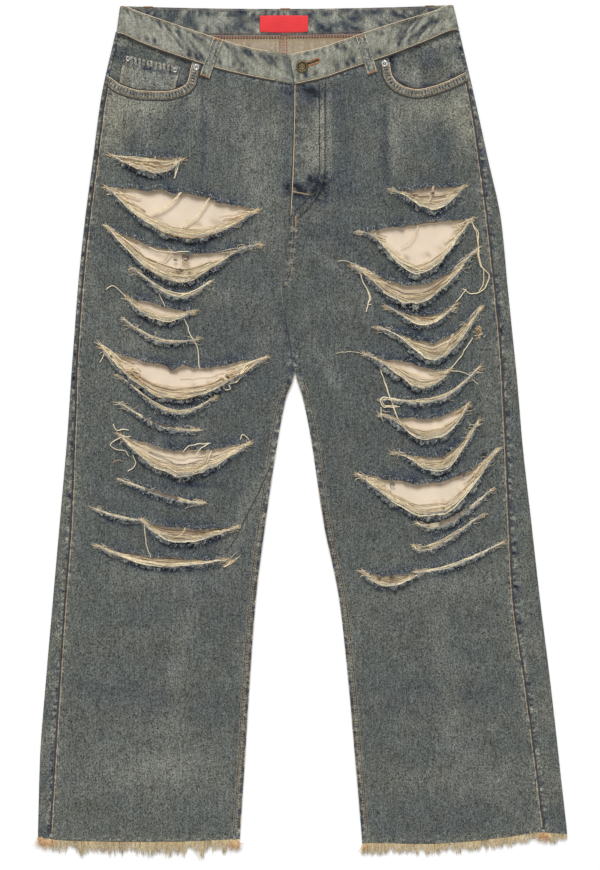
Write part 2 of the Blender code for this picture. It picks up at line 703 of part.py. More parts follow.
for old in list(bpy.data.objects):
    bpy.data.objects.remove(old)
jeans = bpy.data.collections.new("ripped_jeans")
cutters = bpy.data.collections.new("cutters")
bpy.context.scene.collection.children.link(jeans)
bpy.context.scene.collection.children.link(cutters)
build()
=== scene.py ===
"""The looks of the ripped jeans: washed denim, frayed rips, stitching, metal and the stage.

Units are metres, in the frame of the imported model: +Z is up and the waist points along +Y. The wearer's
right leg lies at -X (leg "r") and the left leg at +X (leg "l"). Each piece of cloth is a thin wall on the
form of its solid. What is sewn or frayed on it is placed on the same surface functions.
"""

import math
from functools import partial

import bpy
import numpy as np
from bpy.props import FloatProperty, FloatVectorProperty, PointerProperty
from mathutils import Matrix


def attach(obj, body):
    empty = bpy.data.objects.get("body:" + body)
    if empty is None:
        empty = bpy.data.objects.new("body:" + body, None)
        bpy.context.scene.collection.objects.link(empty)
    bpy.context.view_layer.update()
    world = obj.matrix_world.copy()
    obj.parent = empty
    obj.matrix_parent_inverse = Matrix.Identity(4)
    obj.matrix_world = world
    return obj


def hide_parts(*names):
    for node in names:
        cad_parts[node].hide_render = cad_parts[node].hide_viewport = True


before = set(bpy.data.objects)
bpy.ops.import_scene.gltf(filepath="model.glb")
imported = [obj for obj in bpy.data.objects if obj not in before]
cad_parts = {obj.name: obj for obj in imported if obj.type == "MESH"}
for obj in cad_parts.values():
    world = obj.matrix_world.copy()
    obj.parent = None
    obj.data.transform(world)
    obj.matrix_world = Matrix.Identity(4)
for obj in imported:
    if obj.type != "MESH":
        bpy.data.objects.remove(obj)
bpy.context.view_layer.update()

bl_info = {
    "name": "Ripped Jeans",
    "version": (1, 0, 0),
    "blender": (4, 5, 0),
    "location": "View3D > Sidebar > Jeans",
    "description": "Dresses the packed model of a pair of ripped jeans",
    "category": "Object",
}

SIDES = (("r", "right", -1.0), ("l", "left", 1.0))
SIGN = {"r": -1.0, "l": 1.0}

# ------------------------------------------------------------------ the garment's form, as in its solids
CLOTH = 0.0012
SEAM = 0.0003
BAND_WALL = 0.0024
BAND_DEPTH = 0.039

SECTION_COLUMNS = ("y", "outer_r", "seam_r", "inner_r", "inner_l", "seam_l", "outer_l")
SECTIONS = (
    (0.506, -0.2370, -0.2325, -0.0090, -0.0090, 0.1945, 0.1990),
    (0.420, -0.2560, -0.2515, -0.0095, -0.0095, 0.2135, 0.2190),
    (0.344, -0.2660, -0.2615, -0.0112, -0.0112, 0.2255, 0.2355),
    (0.267, -0.2762, -0.2717, -0.0150, -0.0150, 0.2355, 0.2520),
    (0.182, -0.2851, -0.2805, -0.0265, -0.0265, 0.2450, 0.2604),
    (0.115, -0.2902, -0.2855, -0.0172, -0.0172, 0.2515, 0.2673),
    (0.070, -0.2936, -0.2879, -0.0110, -0.0090, 0.2546, 0.2719),
    (0.040, -0.2955, -0.2885, -0.0210, 0.0005, 0.2560, 0.2745),
    (-0.012, -0.2991, -0.2905, -0.0311, 0.0108, 0.2587, 0.2788),
    (-0.114, -0.3080, -0.2946, -0.0464, 0.0260, 0.2631, 0.2902),
    (-0.215, -0.3169, -0.3023, -0.0591, 0.0464, 0.2686, 0.3016),
    (-0.317, -0.3258, -0.3092, -0.0667, 0.0578, 0.2830, 0.3143),
    (-0.419, -0.3334, -0.3152, -0.0730, 0.0667, 0.2965, 0.3258),
    (-0.518, -0.3360, -0.3213, -0.0794, 0.0756, 0.3073, 0.3360),
)
HEIGHT_COLUMNS = ("y", "lift", "fold", "crown", "inner")
HEIGHTS = (
    (0.504, 0.0015, 0.0069, 0.0069, 0.0069),
    (0.420, 0.0015, 0.0069, 0.0071, 0.0069),
    (0.344, 0.0015, 0.0063, 0.0070, 0.0065),
    (0.267, 0.0015, 0.0058, 0.0066, 0.0059),
    (0.230, 0.0015, 0.0054, 0.0062, 0.0056),
    (0.182, 0.0008, 0.0046, 0.0054, 0.0032),
    (0.115, 0.0000, 0.0038, 0.0049, 0.0022),
    (0.000, 0.0000, 0.0036, 0.0046, 0.0022),
    (-0.420, 0.0000, 0.0034, 0.0042, 0.0022),
    (-0.520, 0.0000, 0.0032, 0.0036, 0.0022),
)
BAND_COLUMNS = ("top_x", "top_y", "low_x", "low_y")
BAND_RIGHT = (
    (-0.0171, 0.4769, -0.0095, 0.4392),
    (-0.0629, 0.4845, -0.0527, 0.4469),
    (-0.1149, 0.4997, -0.1048, 0.4586),
    (-0.1797, 0.5213, -0.1670, 0.4782),
    (-0.2130, 0.5330, -0.2051, 0.4921),
    (-0.2320, 0.5385, -0.2369, 0.5036),
)
BAND_LEFT = (
    (-0.0171, 0.4769, -0.0095, 0.4392),
    (0.0184, 0.4845, 0.0248, 0.4469),
    (0.0502, 0.4947, 0.0629, 0.4599),
    (0.1035, 0.5131, 0.1175, 0.4787),
    (0.1670, 0.5321, 0.1594, 0.4952),
    (0.1915, 0.5397, 0.1990, 0.5083),
)
BANDS = {"r": BAND_RIGHT, "l": BAND_LEFT}
BAND_BACK_SAG = 0.0040
BAND_BACK_LOW_Y = 0.4985
BAND_STEP = 0.0027
BAND_RAMP = ((0.15, 0.0027), (0.40, 0.0012), (0.65, 0.0))
BAND_BACK_Z = 0.0015 + BAND_WALL / 2
BAND_FRONT_Z = 0.0069
YOKE_SIDE_Y = 0.4630
YOKE_CENTRE_Y = 0.4260
CENTRE_BACK_X = -0.0245
FLY_LOW_Y = 0.2650
FLY_STEP = 0.0019
FLY_REACH = 0.0080
MOUTH_RIGHT = (
    (-0.2600, 0.4520), (-0.2470, 0.4490), (-0.2292, 0.4375), (-0.2020, 0.4304), (-0.1734, 0.4299),
    (-0.1568, 0.4337), (-0.1460, 0.4413), (-0.1429, 0.4521), (-0.1391, 0.4680),
)
MOUTH_LEFT = (
    (0.2250, 0.4600), (0.2089, 0.4545), (0.1861, 0.4439), (0.1657, 0.4363), (0.1454, 0.4324),
    (0.1315, 0.4350), (0.1200, 0.4413), (0.1124, 0.4528), (0.1099, 0.4667),
)
MOUTHS = {"r": MOUTH_RIGHT, "l": MOUTH_LEFT}
FACING_LOW_Y = 0.4100
FACING_DROP = 0.0030
COIN_DROP = 0.0015
COIN_TOP = ((-0.2261, 0.4762), (-0.1548, 0.4613))
COIN_FOOT = ((-0.2362, 0.4197), (-0.1657, 0.4147))
HEM_COLUMNS = ("x", "cut", "reach")
HEM_RIGHT = (
    (-0.3370, -0.5165, -0.5300), (-0.2900, -0.5205, -0.5417), (-0.2000, -0.5215, -0.5417),
    (-0.1300, -0.5210, -0.5417), (-0.0780, -0.5190, -0.5370),
)
HEM_LEFT = (
    (0.0740, -0.5240, -0.5417), (0.1430, -0.5245, -0.5417), (0.2100, -0.5210, -0.5390),
    (0.2640, -0.5150, -0.5320), (0.3050, -0.5100, -0.5250), (0.3370, -0.5120, -0.5240),
)
HEM_FROM_Y = -0.440
HEM_NOMINAL_Y = -0.520
SEAM_FOOT_Y = -0.512
LOOP_WIDTH = 0.0125
FRONT_LOOPS = (
    ("belt_loop_front_right", (-0.1067, 0.4966), (-0.1241, 0.4483)),
    ("belt_loop_front_left", (0.0737, 0.5004), (0.0889, 0.4528)),
)
BACK_LOOPS = (
    ("belt_loop_back_right", -0.1962),
    ("belt_loop_back_centre", -0.0222),
    ("belt_loop_back_left", 0.1619),
)
BACK_LOOP_LOW_Y = 0.4880
BACK_POCKET_TOP_Y = 0.4080
BACK_POCKET_SIDE_Y = 0.2680
BACK_POCKET_TIP_Y = 0.2420
BACK_POCKET_NEAR = 0.0420
BACK_POCKET_FAR = 0.1920
BACK_POCKET_TAPER = 0.0090
BACK_POCKET_SIZE = 0.150
LABEL_X = (-0.0540, 0.0070)
LABEL_Y = (0.5061, 0.5264)
LABEL_SIZE = (0.061, 0.020)
BUTTON_AT = (-0.0006, 0.4616)
BUTTON_RADIUS = 0.0078
BUTTONHOLE_END = (0.0197, 0.4692)
BUTTONHOLE_RADIUS = 0.0016
EYELET_RADIUS = 0.0027
RIVETS = (
    ("rivet_pocket_right", (-0.1347, 0.4605), 0.0042, 0.0),
    ("rivet_pocket_left", (0.1040, 0.4652), 0.0044, 0.0),
    ("rivet_coin_outer", (-0.2212, 0.4716), 0.0034, COIN_DROP - 0.0004),
    ("rivet_coin_inner", (-0.1619, 0.4573), 0.0034, COIN_DROP - 0.0004),
)

# Rips: a lens between two sagging edges that share their ends. upper and lower are how far the edges sag,
# lean is where they are deepest, and fill is how much of the opening its loose weft covers. tail shapes one
# end of the opening, the one at x1 where it is positive and the one at x0 where it is negative: a size
# above 1 makes that end slimmer, and one below 1 makes it blunter. The narrow ones at the end of each
# list, none of them as deep as the slit depth, are slits that only the looks have.
RIP_COLUMNS = ("x0", "y0", "x1", "y1", "upper", "lower", "lean", "fill", "tail")
RIPS_RIGHT = (
    (-0.2420, 0.3486, -0.1536, 0.3436, -0.001, 0.0170, 0.67, 1.00, -0.5),
    (-0.2480, 0.3080, -0.0580, 0.2790, -0.007, 0.0480, 0.50, 0.40),
    (-0.2480, 0.2597, -0.0530, 0.2356, 0.021, 0.0570, 0.47, 0.60, 2.6),
    (-0.2216, 0.1695, -0.1378, 0.1505, 0.001, 0.0185, 0.45, 0.30, -0.7),
    (-0.2559, 0.1086, -0.0464, 0.0933, 0.021, 0.0600, 0.45, 0.40),
    (-0.2318, -0.0044, -0.0679, -0.0159, 0.015, 0.0450, 0.46, 0.50),
    (-0.2013, -0.1149, -0.0830, -0.1225, 0.006, 0.0225, 0.38, 0.45),
    (-0.2600, -0.1462, -0.0960, -0.1640, 0.006, 0.0155, 0.46, 0.60),
    (-0.2178, 0.2064, -0.1162, 0.1899, 0.022, 0.0280, 0.57, 0.90),
    (-0.2267, 0.1416, -0.1314, 0.1162, 0.012, 0.0160, 0.48, 1.00),
    (-0.2343, 0.0700, -0.1099, 0.0438, 0.028, 0.0335, 0.56, 1.00),
    (-0.2330, 0.0349, -0.1302, 0.0006, 0.008, 0.0122, 0.55, 0.80),
    (-0.2305, -0.0629, -0.1265, -0.0925, 0.001, 0.0060, 0.58, 0.60),
    (-0.2650, -0.0985, -0.2020, -0.1140, 0.001, 0.0042, 0.50, 1.00),
)
RIPS_LEFT = (
    (0.1124, 0.3042, 0.2038, 0.3092, -0.001, 0.0260, 0.62, 0.50),
    (0.0718, 0.2508, 0.2140, 0.2686, -0.002, 0.0590, 0.53, 0.35, -1.8),
    (0.0641, 0.2089, 0.2216, 0.2305, 0.035, 0.0560, 0.53, 0.60, 1.6),
    (0.1073, 0.1568, 0.1937, 0.1594, 0.012, 0.0240, 0.56, 0.90),
    (0.0950, 0.1300, 0.2254, 0.1556, 0.031, 0.0530, 0.58, 0.80, -2.2),
    (0.0781, 0.0972, 0.1850, 0.0768, 0.002, 0.0265, 0.65, 0.36, 0.6),
    (0.0984, 0.0197, 0.2090, 0.0330, 0.012, 0.0375, 0.60, 0.26, 0.6),
    (0.1175, -0.0286, 0.2229, 0.0120, 0.026, 0.0420, 0.58, 0.80),
    (0.0705, -0.0552, 0.2470, -0.0240, 0.029, 0.0690, 0.56, 0.40, -0.8),
    (0.0768, -0.1797, 0.1540, -0.1790, 0.004, 0.0160, 0.40, 0.60),
    (0.0984, 0.0387, 0.2242, 0.0806, 0.019, 0.0245, 0.58, 1.00),
    (0.1450, -0.1165, 0.2400, -0.0750, 0.012, 0.0195, 0.40, 0.60),
    (0.1403, -0.1454, 0.2292, -0.1060, 0.009, 0.0150, 0.30, 0.90),
    (0.1430, -0.1790, 0.2546, -0.1416, 0.005, 0.0090, 0.42, 1.00),
)
SLIT_DEPTH = 0.009

# Folds, as soft ridges, or troughs where the height is negative. The first nine are the solids' own.
FOLD_COLUMNS = ("x0", "y0", "x1", "y1", "width", "height")
FOLDS = (
    (-0.060, 0.160, -0.230, 0.205, 0.014, 0.0007),
    (0.010, 0.150, 0.200, 0.190, 0.014, 0.0006),
    (-0.043, -0.045, -0.097, -0.155, 0.012, 0.0009),
    (-0.240, -0.185, -0.090, -0.200, 0.018, 0.0006),
    (0.075, -0.215, 0.245, -0.190, 0.018, 0.0006),
    (-0.290, -0.330, -0.110, -0.350, 0.022, -0.0005),
    (0.090, -0.345, 0.280, -0.330, 0.022, -0.0005),
    (-0.270, -0.440, -0.120, -0.430, 0.020, 0.0005),
    (0.110, -0.450, 0.290, -0.440, 0.020, 0.0005),
    (-0.200, 0.428, -0.196, 0.345, 0.009, 0.0008),
    (-0.150, 0.430, -0.160, 0.350, 0.007, -0.0006),
    (-0.085, 0.440, -0.060, 0.300, 0.010, 0.0006),
    (0.045, 0.430, 0.060, 0.300, 0.009, -0.0006),
    (0.104, 0.412, 0.108, 0.300, 0.0044, -0.0013),
    (0.110, 0.425, 0.118, 0.330, 0.009, 0.0008),
    (-0.124, 0.420, -0.126, 0.320, 0.0048, -0.0010),
    (0.170, 0.430, 0.185, 0.330, 0.008, -0.0007),
    (0.005, 0.235, 0.060, 0.190, 0.007, 0.0008),
    (0.015, 0.262, 0.075, 0.225, 0.006, -0.0006),
    (-0.040, 0.250, -0.085, 0.215, 0.008, 0.0007),
    (-0.010, 0.4330, 0.024, 0.4270, 0.0032, -0.0009),
    (-0.004, 0.4190, 0.022, 0.4150, 0.0034, 0.0009),
    (-0.011, 0.4060, 0.010, 0.4000, 0.0030, -0.0006),
    (-0.009, 0.3880, 0.012, 0.3800, 0.0034, 0.0008),
    (-0.010, 0.3720, 0.008, 0.3660, 0.0030, -0.0008),
    (-0.009, 0.3560, 0.010, 0.3480, 0.0034, 0.0008),
    (-0.010, 0.3380, 0.013, 0.3300, 0.0032, -0.0007),
    (-0.010, 0.3210, 0.022, 0.3120, 0.0034, 0.0009),
    (-0.008, 0.3000, 0.020, 0.2930, 0.0032, -0.0008),
    (-0.030, 0.3150, -0.014, 0.3050, 0.0040, -0.0009),
    (-0.034, 0.2950, -0.016, 0.2880, 0.0036, 0.0007),
    (-0.0235, 0.153, -0.0120, 0.070, 0.004, -0.0009),
    (-0.040, 0.140, -0.075, 0.060, 0.009, 0.0007),
    (0.012, 0.120, 0.050, 0.040, 0.009, 0.0006),
    (-0.270, 0.215, -0.255, 0.120, 0.007, 0.0006),
    (0.225, 0.110, 0.240, 0.000, 0.008, 0.0006),
    (-0.150, -0.230, -0.170, -0.430, 0.016, 0.0006),
    (0.170, -0.240, 0.200, -0.430, 0.016, 0.0006),
)

# Where the camera looks and how much it sees, then the floor, the soft light and the window's light.
VIEW_CENTRE = (-0.0032, -0.0057)
VIEW_HEIGHT = 1.1049
CAMERA_DISTANCE = 5.0
SENSOR = 24.0
FLOOR_HALF = 6
FLOOR_Z = -0.0006
FLOOR_GREY = 0.80
FLOOR_GLOW = 0.30
SKY_ON_THINGS = 0.50
SKY_SEEN = 1.0
WINDOW_STRENGTH = 2.35
WINDOW_ANGLE = 24
WINDOW_TILT = (-50, -6)


# ------------------------------------------------------------------ sizes and colours
def shade(red, green, blue):
    """A colour given in display values from 0 to 255, as linear light."""
    values = [v / 255 for v in (red, green, blue)]
    return tuple(v / 12.92 if v <= 0.04045 else ((v + 0.055) / 1.055) ** 2.4 for v in values)


def length(name, description, default):
    """A size in metres."""
    return FloatProperty(name=name, description=description, default=default, unit="LENGTH", precision=5)


def colour(name, description, default):
    """A colour in linear light."""
    return FloatVectorProperty(
        name=name, description=description, default=default, subtype="COLOR", size=3, min=0.0, max=1.0
    )


class JeansSizes(bpy.types.PropertyGroup):
    """Sizes of the dressed jeans."""

    fine_step: length("Fine step", "Spacing of the cloth's mesh where it is ripped", 0.0030)
    coarse_step: length("Coarse step", "Spacing of the cloth's mesh elsewhere", 0.0052)
    jag: length("Jag", "How far the torn edges stray from their line", 0.0012)
    lip_rise: length("Lip rise", "How far the cloth stands up at a torn edge", 0.0015)
    ledge: length("Ledge", "Width of the frayed ledge that hangs over below a rip", 0.0082)
    ledge_rise: length("Ledge rise", "Height of the frayed ledge above the cloth", 0.0044)
    swell: length("Swell", "How far the inside of the back rises in an opening", 0.0021)
    rope: length("Rope", "Height of the puckers along the seams", 0.00045)
    weft: length("Weft", "Radius of a loose weft yarn", 0.00034)
    fuzz: length("Fuzz", "Length of the short fibres at torn edges", 0.0036)
    stitch: length("Stitch", "Length of one stitch", 0.0026)
    stitch_gap: length("Stitch gap", "Space between two stitches", 0.0010)
    stitch_radius: length("Stitch radius", "Radius of the sewing thread", 0.00036)
    fringe_step: length("Fringe step", "Spacing of the yarns that hang from a hem", 0.0008)


class JeansColours(bpy.types.PropertyGroup):
    """Colours of the dressed jeans."""

    wash: colour("Wash", "Washed denim, its blue side", shade(84, 90, 89))
    olive: colour("Olive", "Washed denim, its yellowed side", shade(88, 91, 86))
    # Also the hue that painted shade starts from; the deepest painted shadow goes on to near black.
    indigo_and_shade: colour("Indigo", "Denim where the dye is left", shade(36, 48, 71))
    # Also the colour of the painted highlight on fold ridges.
    worn_and_highlight: colour("Worn", "Denim rubbed pale", shade(160, 160, 148))
    cream: colour("Cream", "The smooth inside of the back", shade(234, 216, 193))
    # The colour of the painted shade on the cream and tan insides.
    painted_shade: colour("Stain", "Brown shade on the cream cloth", shade(150, 124, 92))
    tan: colour("Tan", "The inside of the yoke", shade(172, 158, 136))
    label: colour("Label", "The waist label", shade(234, 58, 62))
    thread: colour("Thread", "Sewing thread", shade(186, 172, 140))
    rust: colour("Rust", "Bar tacks and the buttonhole", shade(176, 118, 66))
    bronze: colour("Bronze", "The button", shade(118, 105, 78))
    nickel: colour("Nickel", "The rivets", shade(212, 210, 204))


# ------------------------------------------------------------------ reading the tables
def smooth(at, places, values):
    """Values between the rows of a table, on a curve that never passes beyond two neighbouring rows."""
    at, places, values = (np.asarray(v, dtype=float) for v in (at, places, values))
    steep = np.diff(values) / np.diff(places)
    before, after = steep[:-1], steep[1:]
    same_way = before * after > 0
    inner = np.where(same_way, 2 * before * after / np.where(same_way, before + after, 1.0), 0.0)
    slopes = np.concatenate([steep[:1], inner, steep[-1:]])
    k = np.clip(np.searchsorted(places, at) - 1, 0, len(places) - 2)
    span = places[k + 1] - places[k]
    t = np.clip((at - places[k]) / span, 0.0, 1.0)
    rise = (2 * t**3 - 3 * t**2 + 1) * values[k] + (3 * t**2 - 2 * t**3) * values[k + 1]
    return rise + span * ((t**3 - 2 * t**2 + t) * slopes[k] + (t**3 - t**2) * slopes[k + 1])


def reader(table, names):
    """A function (name, place) that reads any column of a table at any places."""
    rows = np.array(sorted(table))
    return lambda name, at: smooth(at, rows[:, 0], rows[:, names.index(name)])


def named(columns, rows):
    """Each row of a table as values by the names of their columns."""
    return [dict(zip(columns, row)) for row in rows]


def measured(rows):
    """Rips by the names of their columns, with how wide and how deep each one is."""
    found = named(RIP_COLUMNS, rows)
    for rip in found:
        rip.setdefault("tail", 1.0)
        rip["wide"] = rip["x1"] - rip["x0"]
        rip["deep"] = rip["lower"] - rip["upper"]
    return found


section = reader(SECTIONS, SECTION_COLUMNS)
height = reader(HEIGHTS, HEIGHT_COLUMNS)
hems = {"r": reader(HEM_RIGHT, HEM_COLUMNS), "l": reader(HEM_LEFT, HEM_COLUMNS)}
folds = named(FOLD_COLUMNS, FOLDS)
rips = {"r": measured(RIPS_RIGHT), "l": measured(RIPS_LEFT)}


def ease(t):
    """A soft step from 0 to 1."""
    t = np.clip(t, 0.0, 1.0)
    return t * t * (3 - 2 * t)


def mix(a, b, t):
    """The value at the share t of the way from a to b."""
    return a + (b - a) * t


def bell(distance, width):
    """1 where the distance is 0, dying away over the width."""
    return np.exp(-((distance / width) ** 2))


def grain(x, y, size, seed=0):
    """Soft even noise from -1 to 1, with lumps about size across."""
    gx, gy = np.asarray(x, dtype=float) / size, np.asarray(y, dtype=float) / size
    ix, iy = np.floor(gx).astype(np.int64), np.floor(gy).astype(np.int64)
    tx, ty = ease(gx - ix), ease(gy - iy)

    def corner(dx, dy):
        h = ((ix + dx) * 374761393 + (iy + dy) * 668265263 + seed * 974711) & 0xFFFFFFFF
        h = ((h ^ (h >> 13)) * 1274126177) & 0xFFFFFFFF
        return ((h ^ (h >> 16)) & 0xFFFF) / 32767.5 - 1.0

    low = mix(corner(0, 0), corner(1, 0), tx)
    high = mix(corner(0, 1), corner(1, 1), tx)
    return mix(low, high, ty)


# ------------------------------------------------------------------ the surfaces
def fullness(rip, depth):
    """From 0 to 1: how near a rip is to being as deep as the given depth."""
    return min(rip["deep"] / depth, 1.0)


def lip_growth(rip, least=0.55, more=0.45):
    """How far a rip's torn lip has grown: the least for the smallest rip, and 1 for a deep one."""
    return fullness(rip, 0.020) * more + least


def rip_edges(rip, x):
    """How far along a rip each x is, and the heights in y of its two edges there."""
    share = np.clip((x - rip["x0"]) / rip["wide"], 0.0, 1.0)
    power = math.log(0.5) / math.log(rip["lean"])
    sag = np.sin(math.pi * share**power)
    chord = mix(rip["y0"], rip["y1"], share)
    shaped = (share - rip["lean"]) * rip["tail"] > 0
    gape = rip["deep"] * np.where(shaped, sag ** abs(rip["tail"]), sag)
    size = fullness(rip, 0.025) * np.sin(math.pi * share) ** 0.5
    seed = int(abs(rip["y0"]) * 9000)
    above = size * (0.0024 * grain(x, 0 * x, 0.015, seed) + 0.0017 * grain(x, 0 * x, 0.0060, seed + 1))
    below = size * (0.0018 * grain(x, 0 * x, 0.017, seed + 2) + 0.0015 * grain(x, 0 * x, 0.006, seed + 3))
    upper = chord - rip["upper"] * sag
    return share, upper + above, upper - gape + below


def rip_depth(rip, x, y):
    """How deep a point is inside a rip, and below zero outside it."""
    share, upper, lower = rip_edges(rip, x)
    ends = np.where(share <= 0.0, x - rip["x0"], np.where(share >= 1.0, x - rip["x1"], 0.0))
    within = np.minimum(upper - y, y - lower)
    return np.where(ends == 0.0, within, -np.hypot(ends, y - np.clip(y, lower, upper)))


def edge_shares(leg, x, y, reach_up, reach_down):
    """How near each point is to an edge: just above a rip, and just below one."""
    above, below = np.zeros_like(x), np.zeros_like(x)
    for rip in rips[leg]:
        share, upper, lower = rip_edges(rip, x)
        fade = np.sin(math.pi * share) ** 0.6 * mix(0.5, 1.0, fullness(rip, 0.016))
        above = np.maximum(above, np.where(y >= upper - 0.002, bell(y - upper, reach_up), 0.0) * fade)
        below = np.maximum(below, np.where(y <= lower + 0.002, bell(y - lower, reach_down), 0.0) * fade)
    return above, below


def lip_width(rip, share):
    """How far down a rip's frayed lip hangs."""
    sizes = bpy.context.scene.jeans_sizes
    return 0.66 * sizes.ledge * lip_growth(rip) * np.sin(math.pi * np.clip(share, 0.0, 1.0)) ** 0.45


def lip_shadow_shares(leg, x, y):
    """How deep in the painted shadow under a frayed lip each point is."""
    total = np.zeros_like(x)
    for rip in rips[leg]:
        share, _, lower = rip_edges(rip, x)
        ragged = 0.8 + 0.7 * grain(x, 0 * x, 0.011, 302)
        below = (lower - lip_width(rip, share)) - y
        fade = np.sin(math.pi * share) ** 0.8 * mix(0.55, 1.0, fullness(rip, 0.016)) * ragged
        shaded = np.where(below > 0, bell(below, 0.0052), 1.0)
        total = np.maximum(total, np.where(y < lower, shaded, 0.0) * fade)
    return total


def fold_rise(x, y):
    """The height that the folds add."""
    total = np.zeros_like(x)
    for fold in folds:
        dx, dy = fold["x1"] - fold["x0"], fold["y1"] - fold["y0"]
        along = ((x - fold["x0"]) * dx + (y - fold["y0"]) * dy) / (dx * dx + dy * dy)
        near = np.clip(along, 0.0, 1.0)
        away = np.hypot(x - fold["x0"] - near * dx, y - fold["y0"] - near * dy)
        total += fold["height"] * np.sin(math.pi * (0.15 + 0.7 * near)) * bell(away, fold["width"])
    return total


def seam_rope(leg, x, y):
    """Puckers from -1 to 1 along a leg's seams, dying away from each seam."""
    slant = y + 0.35 * x
    waves = 0.55 * np.sin(2 * math.pi * slant / 0.0145 + 3.0 * grain(x, y, 0.04, 5))
    waves = waves + 0.7 * grain(x, y, 0.009, 6)
    outer = bell(x - section("seam_" + leg, y), 0.0075)
    inner = bell(x - section("inner_" + leg, y), 0.0070) * (y < 0.10)
    waist = bell(y - waist_seam(leg, x), 0.0060)
    return waves * np.maximum(np.maximum(outer, inner), waist)


def seam_rub(leg, x, y):
    """How much the seams' puckers have been rubbed light and dark, from 0 to 1."""
    outer = bell(x - section("seam_" + leg, y), 0.0062)
    inner = 0.8 * bell(x - section("inner_" + leg, y), 0.0080) * (y < 0.10)
    hem = 0.5 * bell(y - hems[leg]("cut", x), 0.006)
    waist = 0.55 * bell(y - waist_seam(leg, x) + 0.003, 0.0045)
    points = np.array(CROTCH)[::-1]
    from_seam = x - np.interp(y, points[:, 1], points[:, 0]) - 0.004
    crotch = 0.75 * bell(from_seam, 0.0055) * (y < 0.275) * (y > 0.18)
    fly = 0.45 * bell(x - 0.0250, 0.0050) * (y > 0.32) + 0.4 * bell(x + 0.0100, 0.0050) * (y > 0.28)
    return np.max([outer, inner, hem, waist, crotch, fly], axis=0)


def front_height(leg, x, y):
    """The middle of a front's wall."""
    seam, inner = section("seam_" + leg, y), section("inner_" + leg, y)
    u = np.clip((x - seam) / (inner - seam), 0.0, 1.0)
    arch = height("crown", y) - (height("fold", y) + height("inner", y)) / 2
    base = mix(height("fold", y), height("inner", y), u) + arch * np.sin(math.pi * u)
    sizes = bpy.context.scene.jeans_sizes
    above, below = edge_shares(leg, x, y, 0.0110, 0.0075)
    lips = sizes.lip_rise * (0.85 + 0.5 * grain(x, y, 0.014, 3)) * np.maximum(above, 0.9 * below)
    sway = 0.00035 * grain(x, y, 0.030, 1) + 0.00016 * grain(x, y, 0.011, 2)
    detail = fold_rise(x, y) * 1.8 + sway
    total = base + detail * np.sin(math.pi * np.clip(u, 0.02, 0.98)) + lips
    total = total + sizes.rope * seam_rope(leg, x, y)
    if leg == "r":
        under = ease((x - inner + 0.028) / 0.024)
        total = total - FLY_STEP * under * ease((y - 0.195) / 0.030)
    return total


# The upper face of each front, once it is worked out, and the reach and the step of its grid.
TOPS = {}
TOP_X = (-0.345, 0.031)
TOP_Y = (-0.535, 0.512)
TOP_STEP = 0.0015


def front_top(leg, x, y):
    """The front's upper face, between the places of a fine grid that is worked out one time."""
    if leg not in TOPS:
        across = np.arange(*TOP_X, TOP_STEP) * -SIGN[leg]
        gx, gy = np.meshgrid(np.sort(across), np.arange(*TOP_Y, TOP_STEP))
        TOPS[leg] = (gx[0, 0], gy[0, 0], front_height(leg, gx, gy) + CLOTH / 2)
    x0, y0, grid = TOPS[leg]
    px = np.clip((np.asarray(x, float) - x0) / TOP_STEP, 0, grid.shape[1] - 1.001)
    py = np.clip((np.asarray(y, float) - y0) / TOP_STEP, 0, grid.shape[0] - 1.001)
    ix, iy = px.astype(int), py.astype(int)
    low = mix(grid[iy, ix], grid[iy, ix + 1], px - ix)
    return mix(low, mix(grid[iy + 1, ix], grid[iy + 1, ix + 1], px - ix), py - iy)


def hem_line(leg, x, y):
    """Rows near a hem lean into its own line."""
    share = np.maximum((HEM_FROM_Y - y) / (HEM_FROM_Y - HEM_NOMINAL_Y), 0.0)
    return y + share * (hems[leg]("cut", x) - HEM_NOMINAL_Y)


def band_edge(leg, edge):
    """The points of a waistband's top or low edge."""
    at = BAND_COLUMNS.index(edge + "_x")
    return np.array([row[at : at + 2] for row in BANDS[leg]])


def waist_seam(leg, x):
    """The seam under the front waistband, in y."""
    points = np.array(sorted(map(tuple, band_edge(leg, "low"))))
    return smooth(np.asarray(x, dtype=float), points[:, 0], points[:, 1])


def back_inner(leg, y):
    """The back's inner edge in x, which runs to the centre seam above the crotch."""
    return mix(section("inner_" + leg, y), CENTRE_BACK_X, ease((y - SECTIONS[4][0]) / 0.060))


def inside_swell(leg, x, y):
    """The rise of the back's inside within the openings, and its painted brown shade under the upper edges
    and in a crease.
    """
    swell, painted_shade = np.zeros_like(x), np.zeros_like(x)
    for rip in rips[leg]:
        share, upper, lower = rip_edges(rip, x)
        span = np.maximum(upper - lower, 0.004)
        down = (upper - y) / span
        fade = np.sin(math.pi * share) ** 0.7 * (rip["deep"] > SLIT_DEPTH)
        rise = ease(down * 0.9 + 0.1) * ease((lower + 0.006 - y) / -0.006 + 1.0)
        rise = rise * np.where(y < lower, bell(y - lower, 0.008), 1.0)
        rise = rise * np.where(y > upper + 0.004, 0.0, 1.0)
        crease_at = mix(upper, lower, 0.74 + 0.05 * np.sin(2.2 * math.pi * share))
        crease = bell(y - crease_at, 0.0014) * (share > 0.16) * (share < 0.86)
        inside = (down > -0.3) * (down < 1.2) * fade
        swell = np.maximum(swell, rise * fade - 0.30 * crease * fade)
        # Painted shadow under each opening's upper edge, and painted shade along its crease.
        narrow = np.clip(span / 0.028, 0.35, 1.0)
        shadow = 0.70 * narrow * bell(np.maximum(upper - y, 0.0), 0.0032 * narrow)
        painted_shade = np.maximum(painted_shade, inside * (shadow + 0.55 * crease * np.clip(span / 0.018, 0.3, 1.0)))
    return swell, painted_shade


# ------------------------------------------------------------------ making meshes
def placed(made):
    """Puts a new object into the scene."""
    bpy.context.scene.collection.objects.link(made)
    return made


